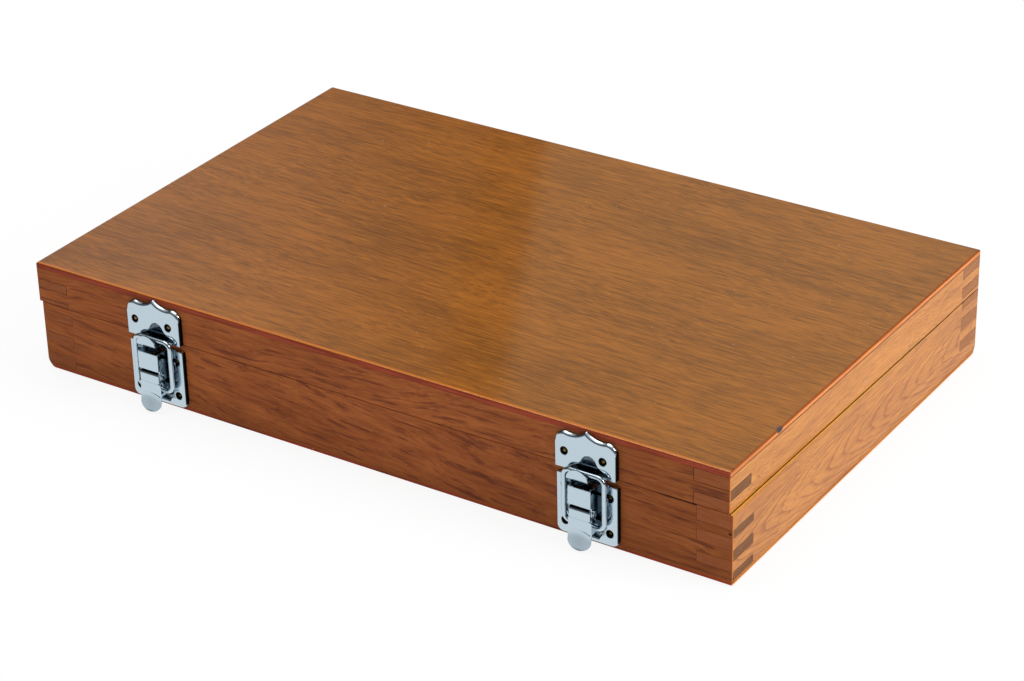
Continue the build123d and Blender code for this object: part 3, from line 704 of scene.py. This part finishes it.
def pressed_sheet(name, axes, outline, front, back, holes=(), folds=(), rims=(), spacing=1.1, dull=None):
    """A closed pressed sheet. front and back give its height at an array of places, back may
    be one height. folds are (line, closed, offsets) that the mesh follows, as it follows the
    outline at the offsets in rims. The shading follows the true slope. The last argument gives
    the painted shade on the plating at each place."""
    origin, right, up, out = (Vector(axis) for axis in axes)
    loops = [spaced(outline, 0.6)] + [spaced(hole, 0.35) for hole in holes]
    fixed = np.array([point for loop in loops for point in loop])
    candidates = []
    for line, closed, offsets in [(outline, True, [-r for r in rims])] + list(folds):
        drawn = spaced(line, 0.5, closed)
        square = out_of(drawn, closed)
        candidates += [tuple(p) for offset in offsets for p in np.array(drawn) + offset * square]
    low, high = fixed.min(0), fixed.max(0)
    row = 0
    grid = []
    v = low[1]
    while v < high[1]:
        u = low[0] + (row % 2) * spacing / 2
        while u < high[0]:
            grid.append((u, v))
            u += spacing
        v += spacing * 0.87
        row += 1
    chosen = []
    for group, gap, from_edge in ((candidates, 0.2, 0.06), (grid, 0.55 * spacing, 0.55 * spacing)):
        places = np.array(group).reshape(-1, 2)
        keep = in_sheet(places, loops)
        for loop in loops:
            keep &= distance(places, loop) > from_edge
        chosen += thinned(places[keep], gap, chosen)
    points = np.concatenate([fixed, np.array(chosen).reshape(-1, 2)])
    edges = []
    for loop in loops:
        start = len(edges)
        edges += [(start + k, start + (k + 1) % len(loop)) for k in range(len(loop))]
    placed, _, triangles, _, _, _ = geometry.delaunay_2d_cdt([Vector(p) for p in points], edges, [], 0, 1e-7)
    points = np.array([tuple(p) for p in placed])
    centres = np.array([points[list(t)].mean(0) for t in triangles])
    triangles = [tuple(t) for t, kept in zip(triangles, in_sheet(centres, loops)) if kept]
    corners = points[np.array(triangles)]
    runs = corners[:, 1:] - corners[:, :1]
    clockwise = runs[:, 0, 0] * runs[:, 1, 1] - runs[:, 0, 1] * runs[:, 1, 0] < 0
    triangles = [t[::-1] if turn else t for t, turn in zip(triangles, clockwise)]

    # Slopes are taken a little inside the rim, and the cut edge faces straight out of it
    nudged = points.copy()
    walls = []
    for loop in loops:
        square = out_of(loop)
        nudged[len(walls):len(walls) + len(loop)] -= square * 0.05
        walls += [right * u + up * v for u, v in square]
    count = len(points)
    turned = right.cross(up).dot(out) < 0
    vertices, normals = [], []
    under = back if callable(back) else lambda places: np.full(len(places), back)
    for height, sign in ((front, 1), (under, -1)):
        du, dv = slopes(height, nudged)
        for (u, v), level, a, b in zip(points, height(points), du, dv):
            vertices.append((origin + right * u + up * v + out * level) * MM)
            normals.append(((out - right * a - up * b) * sign).normalized())
    faces, loop_normals = [], []
    for a, b, c in triangles:
        faces += [(a, b, c), (c + count, b + count, a + count)]
    flat = len(faces)
    faces += [(a, a + count, b + count, b) for a, b in edges]
    faces = [face[::-1] for face in faces] if turned else faces
    for k, face in enumerate(faces):
        loop_normals += [normals[i] if k < flat else walls[i % count] for i in face]
    mesh = bpy.data.meshes.new(name)
    mesh.from_pydata(vertices, [], faces)
    mesh.shade_smooth()
    mesh.normals_split_custom_set([tuple(normal) for normal in loop_normals])
    if dull:
        darkened = mesh.attributes.new("dull", "FLOAT", "POINT")
        darkened.data.foreach_set("value", np.tile(np.clip(dull(points), 0, 1), 2).astype(np.float32))
    return new_object(name, mesh)


def bridge(build, first, second, closed=True):
    """Smooth faces between two rows of points."""
    for k in range(len(first) if closed else len(first) - 1):
        n = (k + 1) % len(first)
        build.faces.new((first[k], first[n], second[n], second[k])).smooth = True


def wire(name, line, radius, rounds=20):
    """A closed round wire along a drawn line of vectors, in millimetres."""
    build = bmesh.new()
    rings = []
    for before, point, after in zip(line[-1:] + line[:-1], line, line[1:] + line[:1]):
        run = (after - before).normalized()
        side = run.cross(Vector((0, 1, 0))).normalized()
        other = run.cross(side)
        rings.append([build.verts.new((point + radius * (math.cos(t) * side + math.sin(t) * other)) * MM)
                      for t in (2 * math.pi * n / rounds for n in range(rounds))])
    for first, second in zip(rings, rings[1:] + rings[:1]):
        bridge(build, first, second)
    bmesh.ops.recalc_face_normals(build, faces=build.faces)
    return built(name, build)


def on_front(across, out, height):
    """A place on the case's front, given out of it and up, in metres."""
    return Vector((across, -HALF_DEPTH - out, height)) * MM


def bent_strip(name, middle, course, half_width, sheet, ease):
    """A strip bent along a course of (out, height) points. half_width gives its width at each
    share of the way."""
    build = bmesh.new()
    columns = 12
    rows = []
    lengths = way_along(course)
    for (out, height), length in zip(course, lengths):
        half = half_width(length / lengths[-1])
        rows.append([build.verts.new(on_front(middle + half * (2 * k / columns - 1), out, height))
                     for k in range(columns + 1)])
    for low, high in zip(rows, rows[1:]):
        bridge(build, low, high, False)
    obj = built(name, build)
    solid = obj.modifiers.new("sheet", "SOLIDIFY")
    solid.thickness = sheet * MM
    solid.offset = 0
    return eased(settled(obj), ease, 40)


def plate_from_profile(name, middle, profile, u_range, ease):
    """A flat cheek drawn as (out, height) points, between two places across the latch."""
    build = bmesh.new()
    near, far = ([build.verts.new(on_front(middle + u, out, height)) for out, height in profile]
                 for u in u_range)
    build.faces.new(near)
    build.faces.new(far)
    bridge(build, near, far)
    bmesh.ops.recalc_face_normals(build, faces=build.faces)
    return eased(built(name, build), ease, 30)


# The case: boards and panels with a little of their edges taken off

def mark_joints(obj, node):
    """Marks the eased edges, darkened with glue and painted shade in the joints, but not the open rim along
    the sides.
    """
    mark = obj.data.attributes.new("joint", "FLOAT", "FACE")
    side_board = "left" in node or "right" in node
    for polygon, value in zip(obj.data.polygons, mark.data):
        oblique = squareness(polygon.normal) < 0.99
        height = polygon.center.z / MM
        rim = side_board and (abs(height - SEAM) < 0.6 or height < BASE_LOW.z + 0.6)
        value.value = 1.0 if oblique and not rim else 0.0


def lid_askew(place):
    """The lid's wood stands a little askew on the base."""
    aside = LID_FRONT_SHIFT * (0.5 - place.y / (2 * HALF_DEPTH))
    return Vector((place.x + LID_SHIFT - aside, place.y, place.z))


def squared_foot(place):
    """The base's lower edge is crisp along its front and right, and round on the left."""
    if place.z >= FOOT_ROUND:
        return place
    now, new = (max(0.0, radius - math.sqrt(max(0.0, radius ** 2 - max(0.0, radius - place.z) ** 2)))
                for radius in (FOOT_ROUND, FOOT_CRISP))
    right, front = HALF_WIDTH - place.x, place.y + HALF_DEPTH
    return Vector((place.x + (now - new if right < now + 1.0 else 0.0),
                   place.y - (now - new if front < now + 1.0 else 0.0), place.z))


for node in sorted(NODES):
    if node.endswith(("_board", "_panel")):
        piece = eased_copy(node, node + "_planed", PANEL_EASE if node.endswith("_panel") else BOARD_EASE,
                           lid_askew if node.startswith("lid_") else squared_foot)
        mark_joints(piece, node)
        panels = {"lid_top_panel": LID_PANEL, "base_bottom_panel": FOOT_PANEL}
        finish_piece(painted(piece, panels.get(node) or BOARDS[node.replace("_board", "")]), node)
    elif node.startswith("tray_"):
        painted(NODES[node], TRAY)
    elif node.endswith(("_leaf", "_hinge_pin")):
        finish_piece(painted(eased_copy(node, node + "_filed", FITTING_EASE), HINGE_BRASS), node)


# The felt pad, crowned and rounded over at its rim

def felt_pad():
    low, high = node_range("lid_felt_pad")
    middle = (low + high) / 2
    half_x, half_y = (high.x - low.x) / 2, (high.y - low.y) / 2
    thick = high.z - low.z
    outline = rounded_box(half_x, -half_y, half_y, 3.0)

    def front(points):
        edge = distance(points, outline)
        pillow = step(edge / 26.0) * 0.7 - 0.7
        tufts = 0.08 * np.sin(points[:, 0] * 0.21 + 1.0) * np.sin(points[:, 1] * 0.27)
        return thick + pillow - rim_drop(edge, 1.5) + tufts * step(edge / 8.0) - 0.1

    axes = ((middle.x, middle.y, high.z), (1, 0, 0), (0, 1, 0), (0, 0, -1))
    return pressed_sheet("crowned_felt_pad", axes, outline, front, 0.0, spacing=5.0,
                         rims=(0.12, 0.35, 0.75, 1.3, 2.2, 4.0, 8.0))


pad = finish_piece(painted(felt_pad(), FELT), "lid_felt_pad")


# The latches

def latch_axes(across):
    """Where a latch's sheets are drawn: origin, right, up and out, on the case's front."""
    return (across, -HALF_DEPTH, 0), (1, 0, 0), (0, 0, 1), (0, -1, 0)


def nail_holes(nails):
    """The holes, and the folds that the mesh follows round them."""
    holes = [arc(nail, NAIL_HOLE, 0, -337.5, 15) for nail in nails]
    return holes, [(hole, True, (-0.22, -0.44, -0.75)) for hole in holes]


def strike_plate(side, middle):
    """Nailed to the lid. A bowed top, two rounded lobes and a bell shaped recess that leads
    down to the hook."""
    half, corner = 14.0, 4.4
    foot, shoulder, top, peak = STRIKE_FOOT, 43.0, 47.5, 49.8
    lobe = arc((half - corner, top - corner), corner, 0, 90, 10)
    crest = bow((half - corner, top), (5.2, 47.3), (0.0, peak), 10)
    outline = mirrored([(half - 0.5, foot), (half, foot + 0.5), (half, shoulder)] + lobe + crest[1:])
    bell = [(9.6, foot + 0.6), (8.6, 33.4), (7.0, 34.4), (5.4, 35.2), (4.3, 36.0), (3.6, 37.0), (3.0, 38.3),
            (2.0, 39.4), (0.0, 40.1)]
    bell = [(u + BELL_ASIDE, v) for u, v in mirrored(bell)]
    nails = [(u - NAILS_ASIDE, v) for u, v in STRIKE_NAILS]
    holes, folds = nail_holes(nails)
    right, left = ([(x, foot), (x, shoulder)] for x in (half, -half))
    top_rim = mirrored(lobe + crest[1:])

    def front(points):
        drop = rim_drop(distance(points, outline), 0.25)
        for rim, radius in ((right, 0.8), (left, 0.8), (top_rim, 1.35)):
            drop = np.maximum(drop, rim_drop(distance(points, rim, False), radius))
        recess = 0.5 * np.where(within(points, bell), step(distance(points, bell) / 0.6), 0)
        return np.maximum(STRIKE_OUT - drop - recess - dimple(points, nails), 0.1)

    # Painted shade in the bell shaped recess, darkest at its foot, round the nails and on the right side
    def dull(points):
        inside = np.where(within(points, bell), step(distance(points, bell) / 0.7), 0)
        return patina_and_shade(points, half, nails, inside * (0.5 + 0.5 * step((35.2 - points[:, 1]) / 0.9)))

    folds += [(bell, True, (-0.6, -0.3, 0.0, 0.25)), (top_rim, False, (-0.5, -0.75, -1.05, -1.35)),
              (right, False, (-0.5, -0.8)), (left, False, (0.5, 0.8))]
    return pressed_sheet(f"{side}_pressed_strike_plate", latch_axes(middle - LID_FRONT_SHIFT + NAILS_ASIDE),
                         outline, front, 0.02, holes, folds, (0.25,), 1.0, dull)


def strike_hook(side, middle):
    """The tongue of the strike plate: down behind the wire, under it and up again in front."""
    sheet, half, bend = 0.75, 4.9, 0.9
    out = HOOK_OUT - sheet / 2
    low = STRIKE_LOW.z + sheet / 2 + bend
    top = STRIKE_LOW.z + 5.1
    course = [(0.7, STRIKE_FOOT + 1.0), (0.7, low)] + arc((0.7 + bend, low), bend, 180, 270, 6) \
        + arc((out - bend, low), bend, -90, 0, 6) \
        + [(out, low + (top - low) * k / 10) for k in range(1, 11)]
    whole = way_along(course)[-1]
    rounded = top - low + 0.6

    def half_width(share):
        left = whole * (1 - share)
        t = max(0.0, 1 - left / rounded)
        return max(0.35, half * math.sqrt(1 - t * t))

    across = middle - LID_FRONT_SHIFT - TONGUE_ASIDE
    return bent_strip(f"{side}_strike_tongue", across, course, half_width, sheet, 0.2)


def base_plate(side, middle):
    """Nailed to the base, with a tall waisted trough pressed into it."""
    half, corner, top_corner, mouth = 14.1, 3.0, 0.9, 9.9
    low, high = PLATE_LOW.z, PLATE_HIGH.z
    right_foot = arc((half - corner, low + corner), corner, -90, 0)
    left_foot = arc((corner - half, low + corner), corner, 180, 270)
    outline = mirrored(right_foot + [(half, high - top_corner)]
                       + arc((half - top_corner, high - top_corner), top_corner, 0, 90, 4)
                       + [(mouth + 0.9, high)])
    trough = mirrored([(5.2, 3.9), (6.5, 6.0), (7.6, 9.5), (8.8, 12.3), (10.4, 14.6), (10.85, 16.4),
                       (10.2, 19.0), (9.2, 21.4), (9.2, 24.0), (9.6, 27.0), (mouth, high + 3)])
    worn_rim = [(-half, high - 0.5), (-half, low + corner)] + left_foot + right_foot + [(half, high - 0.5)]
    holes, folds = nail_holes(BASE_NAILS)

    def front(points):
        drop = rim_drop(distance(points, worn_rim, False), 0.8) + rim_drop(distance(points, outline), 0.2)
        way = distance(points, trough)
        depth = 1.2 * np.where(within(points, trough), step(0.5 + way / 1.1), step(0.5 - way / 1.1))
        return np.maximum(PLATE_OUT - drop - depth - dimple(points, BASE_NAILS), 0.3)

    # Painted shade in the pressed trough, round the nails and on the right side
    def dull(points):
        inside = np.where(within(points, trough), step(distance(points, trough) / 1.2), 0)
        return patina_and_shade(points, half, BASE_NAILS, 0.62 * inside)

    folds += [(trough, True, (-0.55, -0.3, 0.0, 0.3, 0.55)), (worn_rim, False, (-0.5, -0.8, -1.1))]
    return pressed_sheet(f"{side}_pressed_base_plate", latch_axes(middle), outline, front, 0.02,
                         holes, folds, (0.25,), 1.1, dull)


def lever(side, middle):
    """A pressed lever: rolled over its pin at the top, a shoulder, and a broad rounded pad."""
    neck, pad, sheet, knuckle = 4.8, 5.3, 0.9, 3.0
    low, high, shoulder = LEVER_LOW.z, 19.6, 14.6
    end = 3.9
    flat_out = PIVOT_OUT + knuckle
    right_half = [(0.0, low)] + [(pad * math.sin(a), low + end * (1 - math.cos(a)))
                                 for a in (math.radians(10 * k) for k in range(1, 10))]
    outline = mirrored(right_half + [(pad, 13.4), (neck, shoulder), (neck, high)])[:-1]

    def body_level(points):
        u, v = points[:, 0], points[:, 1]
        over = np.clip(v - PIVOT_HEIGHT, 0, knuckle - 0.05)
        level = PIVOT_OUT + np.sqrt(knuckle * knuckle - over * over)
        lean = np.clip(9.5 - v, 0, 20) / (9.5 - low)
        crown = 0.012 * u * u * step((14.0 - v) / 2.0)
        return level + (LEVER_FRONT - 0.35 - flat_out) * lean ** 1.25 - crown

    def front(points):
        u, v = points[:, 0], points[:, 1]
        level = body_level(points)
        level = level - 0.16 * np.exp(-((v - 9.7 + 0.05 * u * u) / 0.55) ** 2)
        level = level - 0.12 * step((14.9 - v) / 0.5) * step((v - 13.9) / 0.5)
        return level - rim_drop(distance(points, outline), 0.45)

    def back(points):
        return np.minimum(front(points) - 0.25, body_level(points) - sheet)

    # Painted shade on the pad below its bend, in a soft patch on the pad, at its foot and over the roll at
    # the top
    def dull(points):
        u, v = points[:, 0], points[:, 1]
        bend = 0.16 * step((9.0 - v - 0.05 * u ** 2) / 2.5)
        pad_shade = 0.06 * np.exp(-((u - 0.4) ** 2 + (v - 4.5) ** 2) / 9.0)
        return bend + pad_shade + 0.5 * step((low + 1.2 - v) / 1.4) + step((v - 18.2) / 0.5)

    folds = [([(-pad, 8.3), (-pad / 2, 9.35), (0, 9.7), (pad / 2, 9.35), (pad, 8.3)], False,
              (-1.0, -0.6, -0.3, 0, 0.3, 0.6, 1.0)),
             ([(-pad, 14.4), (pad, 14.4)], False, (-0.5, -0.25, 0, 0.25, 0.5)),
             ([(-neck, 19.0), (neck, 19.0)], False, (-0.45, -0.25, 0, 0.25, 0.45))]
    face = pressed_sheet(f"{side}_lever_face", latch_axes(middle), outline, front, back, (), folds,
                         (0.06, 0.18, 0.34, 0.5), 0.7, dull)
    boss, root = 1.9, 7.4
    cheek = [(root, LOOP_PIVOT_HEIGHT - boss), (root, shoulder), (LOOP_OUT, shoulder),
             (LOOP_OUT, LOOP_PIVOT_HEIGHT + boss)] \
        + arc((LOOP_OUT, LOOP_PIVOT_HEIGHT), boss, 90, 270, 12)[1:]
    cheeks = [plate_from_profile(f"{side}_lever_cheek", middle, cheek, (s * 4.6, s * 5.25), 0.12)
              for s in (-1, 1)]
    roll = arc((PIVOT_OUT, PIVOT_HEIGHT), knuckle - 0.04, 12, 240, 20) \
        + arc((PIVOT_OUT, PIVOT_HEIGHT), knuckle - sheet, 240, 12, 16)
    rolled = plate_from_profile(f"{side}_lever_roll", middle, roll, (-neck, neck), 0.15)
    return joined(f"{side}_pressed_lever", [face, rolled] + cheeks)


def loop(side, middle):
    """A closed wire, round the hook above and through the lever's cheeks below."""
    half = (LOOP_HIGH.x - LOOP_LOW.x) / 2 - WIRE + LOOP_WIDER
    drawn = rounded_box(half, LOOP_LOW.z + WIRE, LOOP_HIGH.z - WIRE, LOOP_CORNER)
    path = [Vector((middle + u, -HALF_DEPTH - LOOP_OUT, v)) for u, v in drawn]
    return wire(f"{side}_bent_wire_loop", path, WIRE)


for side, middle in LATCH_MIDDLES.items():
    latch = f"{side}_latch_"
    plate_and_tongue = [strike_plate(side, middle), strike_hook(side, middle)]
    pieces = {"strike_plate": joined(f"{side}_strike_plate_and_tongue", plate_and_tongue),
              "base_plate": base_plate(side, middle),
              "lever": lever(side, middle),
              "loop": loop(side, middle)}
    for node, width in (("bracket", FITTING_EASE), ("lever_pin", PIN_EASE)):
        pieces[node] = eased_copy(latch + node, f"{side}_filed_{node}", width)
    for node, piece in pieces.items():
        finish_piece(painted(piece, CHROME), latch + node)


# Nails and screws, set out by node trees

class Tree(Graph):
    """A geometry node tree. Its sizes are in millimetres."""

    def __init__(self, name, sizes):
        self.tree = bpy.data.node_groups.new(name, "GeometryNodeTree")
        self.sockets = {}
        for key in sizes:
            socket = self.tree.interface.new_socket(key, in_out="INPUT", socket_type="NodeSocketFloat")
            self.sockets[key] = socket.identifier
        self.tree.interface.new_socket("Geometry", in_out="OUTPUT", socket_type="NodeSocketGeometry")
        self.source = self.tree.nodes.new("NodeGroupInput")
        self.sizes = sizes
        self.name = name

    def size(self, key, scale=MM):
        return self.math("MULTIPLY", self.source.outputs[key], scale)

    def moved(self, piece, **how):
        return self.add("GeometryNodeTransform", {"Geometry": piece, **how})

    def together(self, *pieces):
        whole = self.node("GeometryNodeJoinGeometry")
        for piece in pieces:
            self.tree.links.new(piece, whole.inputs[0])
        return whole.outputs[0]

    def build(self, piece, material):
        """A plain mesh object of what the tree makes."""
        real = self.add("GeometryNodeRealizeInstances", [piece])
        coated = self.add("GeometryNodeSetMaterial", {"Geometry": real, "Material": material})
        self.node("NodeGroupOutput", [coated])
        obj = new_object(self.name, bpy.data.meshes.new(self.name))
        modifier = obj.modifiers.new("set_out", "NODES")
        modifier.node_group = self.tree
        for key, identifier in self.sockets.items():
            modifier[identifier] = self.sizes[key]
        return settled(obj)


def nail_set(side, which, middle, places, surface):
    """Domed brass nails at points given across and up the latch. Each stands a little crooked."""
    sizes = {"Head Radius": 0.9, "Dome Height": 0.42, "Shank Radius": 0.7, "Length": 10.0,
             "Surface": surface, "Lean": 3.0}
    for index, (across, up) in enumerate(places):
        sizes[f"Across {index}"] = middle + across
        sizes[f"Up {index}"] = up
    t = Tree(f"{side}_{which}_nails", sizes)
    upright = (math.pi / 2, 0, 0)
    dome = t.moved(t.add("GeometryNodeMeshUVSphere", [16, 8, t.size("Head Radius")]), Rotation=upright)
    flatten = t.math("DIVIDE", t.size("Dome Height"), t.size("Head Radius"))
    head = t.moved(dome, Scale=t.join(1.0, flatten, 1.0))
    shank = t.add("GeometryNodeMeshCylinder", {"Vertices": 10, "Radius": t.size("Shank Radius"),
                                               "Depth": t.size("Length")})
    half_way = t.join(0.0, t.size("Length", 0.5 * MM), 0.0)
    nail = t.together(t.moved(shank, Translation=half_way, Rotation=upright), head)
    smooth = t.add("GeometryNodeSetShadeSmooth", [nail])
    front = t.math("SUBTRACT", -HALF_DEPTH * MM, t.size("Surface"))
    points = [t.add("GeometryNodePoints", {
        "Count": 1, "Position": t.join(t.size(f"Across {index}"), front, t.size(f"Up {index}"))})
        for index in reversed(range(len(places)))]
    lean = t.math("MULTIPLY", t.source.outputs["Lean"], math.radians(1))
    back = t.math("MULTIPLY", lean, -1.0)
    least, most = t.join(back, 0.0, back), t.join(lean, 0.0, lean)
    crooked = t.add("FunctionNodeRandomValue", {0: least, 1: most, "Seed": 3}, data_type="FLOAT_VECTOR")
    placed = t.add("GeometryNodeInstanceOnPoints", {"Points": t.together(*points), "Instance": smooth,
                                                    "Rotation": crooked})
    return finish_piece(t.build(placed, NAIL_BRASS), f"{side}_latch_{which}_nails")


def screw_set(node):
    """Three slotted countersunk screws through a hinge leaf."""
    low, high = node_range(node)
    head, depth = (high.z - low.z) / 2, 1.0
    sizes = {"First": low.x + head, "Last": high.x - head, "Height": (low.z + high.z) / 2,
             "Seat": high.y - depth, "Head Radius": head, "Head Depth": depth, "Shank Radius": 1.1,
             "Length": high.y - low.y - depth, "Slot Width": 0.45, "Slot Depth": 0.35}
    t = Tree(node + "_slotted", sizes)
    line = t.add("GeometryNodeMeshLine", {"Count": 3, "Start Location": t.join(t.size("First"), 0.0, 0.0),
                                          "Offset": t.join(t.size("Last"), 0.0, 0.0)}, mode="END_POINTS")
    cone = t.add("GeometryNodeMeshCone", {"Vertices": 24, "Radius Top": t.size("Head Radius"),
                                          "Radius Bottom": t.size("Head Radius", 0.5 * MM),
                                          "Depth": t.size("Head Depth")})
    slot_size = t.join(t.size("Head Radius", 3 * MM), t.size("Slot Width"), t.size("Slot Depth", 2 * MM))
    top = t.join(0.0, 0.0, t.size("Head Depth"))
    cutter = t.moved(t.add("GeometryNodeMeshCube", [slot_size]), Translation=top)
    cut = t.add("GeometryNodeMeshBoolean", [cone, cutter], operation="DIFFERENCE", solver="EXACT")
    shank = t.add("GeometryNodeMeshCylinder", {"Vertices": 12, "Radius": t.size("Shank Radius"),
                                               "Depth": t.size("Length")})
    driven = t.moved(shank, Translation=t.join(0.0, 0.0, t.size("Length", -0.5 * MM)))
    screw = t.moved(t.together(driven, cut), Rotation=(-math.pi / 2, 0, 0))
    turn = t.node("FunctionNodeRandomValue", {3: 3.1, "Seed": 5}, data_type="FLOAT").outputs[1]
    placed = t.add("GeometryNodeInstanceOnPoints", {"Points": line, "Instance": screw,
                                                    "Rotation": t.join(0.0, turn, 0.0)})
    stood = t.moved(placed, Translation=t.join(0.0, t.size("Seat"), t.size("Height")))
    return finish_piece(t.build(stood, HINGE_BRASS), node)


for side, middle in LATCH_MIDDLES.items():
    nail_set(side, "strike", middle - LID_FRONT_SHIFT, STRIKE_NAILS, STRIKE_NAIL_OUT)
    nail_set(side, "base", middle, BASE_NAILS, BASE_NAIL_OUT)
for node in sorted(NODES):
    if node.endswith("_screws"):
        screw_set(node)


# Floor, surroundings, lamps and camera

def floor():
    """White to the camera and in the chrome, and a plain pale ground for the rest."""
    half, below = 6.0, 0.0002
    corners = [(-half, -half, 0), (half, -half, 0), (half, half, 0), (-half, half, 0)]
    mesh = bpy.data.meshes.new("floor")
    mesh.from_pydata(corners, [], [(0, 1, 2, 3)])
    obj = new_object("floor", mesh)
    obj.location.z = -below
    s = Nodes("floor_white")
    s.set(Base_Color=(0.88, 0.88, 0.88, 1), Roughness=1.0, Specular_IOR_Level=0.0)
    ground, ray = s.shader.outputs[0], s.node("ShaderNodeLightPath").outputs
    far = s.math("SQRT", s.total((1.0, s.both(s.x, s.x)), (1.0, s.both(s.y, s.y))))
    seen = s.blend(s.ramp(far, 190.0, 330.0, 0.9, 1.0), ground, s.add("ShaderNodeEmission"))
    fading = s.add("ShaderNodeEmission", {"Strength": s.ramp(far, 350.0, 1100.0, 1.0, 0.15)})
    sharp = s.math("MAXIMUM", ray["Is Glossy Ray"], ray["Is Transmission Ray"])
    reflected = s.blend(sharp, ground, fading)
    s.link(s.blend(ray["Is Camera Ray"], reflected, seen), s.output.inputs["Surface"])
    obj.data.materials.append(s.material)


class Sky(Nodes):
    """The world's node tree, with the same short calls as a material."""

    def __init__(self, name):
        world = bpy.data.worlds.new(name)
        bpy.context.scene.world = world
        world.use_nodes = True
        self.tree = world.node_tree
        self.tree.nodes.clear()
        self.light = self.node("ShaderNodeBackground")
        self.node("ShaderNodeOutputWorld", {"Surface": self.light.outputs[0]})


def surroundings():
    """A dim room with a bright ceiling, and a pale wall to the left of its dark doorway."""
    s = Sky("workroom")
    x, y, z = s.split(s.node("ShaderNodeTexCoord").outputs["Generated"])
    azimuth = s.both(s.math("ARCTAN2", s.both(x, -1.0), y), 180 / math.pi)
    elevation = s.both(s.math("ARCSINE", z), 180 / math.pi)
    edge = s.total((1.0, azimuth), (-0.22, s.math("SUBTRACT", elevation, 27.3)))
    near = s.both(s.ramp(edge, 33.3, 33.0), s.ramp(azimuth, 31.5, 25.0, 0.27, 0.38))
    near = s.both(near, s.both(s.ramp(azimuth, 0.0, 12.0), s.ramp(elevation, 42.0, 37.0)))
    wall = s.total((0.14, s.ramp(edge, 34.25, 34.7)), (0.9, s.ramp(azimuth, 34.8, 41.0)))
    wall = s.both(wall, s.ramp(azimuth, 75.0, 60.0))
    wall = s.both(wall, s.both(s.ramp(elevation, 12.0, 16.0), s.ramp(elevation, 45.0, 38.0)))
    ceiling = s.ramp(z, 0.62, 0.9)
    low = s.ramp(z, 0.0, 0.35, 0.06, 0.02)
    behind_camera = s.ramp(y, 0.0, -0.6)
    s.link(s.mix(s.ramp(near, 0.0, 0.05), (1, 1, 1, 1), (0.85, 1.0, 0.82, 1)), s.light.inputs["Color"])
    s.link(s.total((1.0, low), (1.1, near), (0.4, wall), (0.9, ceiling), (0.12, behind_camera)),
           s.light.inputs["Strength"])


def lamp(name, place, aim, size, power):
    data = bpy.data.lights.new(name, "AREA")
    data.size = size
    data.energy = power
    obj = new_object(name, data)
    obj.location = place
    obj.rotation_euler = (Vector(aim) - Vector(place)).to_track_quat("-Z", "Y").to_euler()


def photo_camera():
    """Turned, raised and rolled in degrees to the photograph's view."""
    turn, rise, roll = (math.radians(angle) for angle in (33.434, 28.591, -1.343))
    aim, away, focal_share = Vector((0.023097, -0.033679, 0.03168)), 1.27619, 2.9823
    back = Vector((math.sin(turn) * math.cos(rise), -math.cos(turn) * math.cos(rise), math.sin(rise)))
    right = (-back).cross(Vector((0, 0, 1))).normalized()
    up = right.cross(-back)
    right, up = (math.cos(roll) * right + math.sin(roll) * up, math.cos(roll) * up - math.sin(roll) * right)
    data = bpy.data.cameras.new("photo_camera")
    data.sensor_width = 36
    data.lens = focal_share * data.sensor_width
    obj = new_object("photo_camera", data)
    turned = Matrix((right, up, back)).transposed().to_4x4()
    obj.matrix_world = Matrix.Translation(aim + back * away) @ turned
    bpy.context.scene.camera = obj


floor()
surroundings()
lamp("key_from_the_right", (1.5, 0.25, 1.0), (0, 0, 0.02), 0.8, 23)
lamp("overhead_softbox", (-0.1, 0.1, 1.6), (0, 0, 0.02), 1.2, 11.0)
photo_camera()
bpy.context.scene.view_settings.view_transform = "Standard"
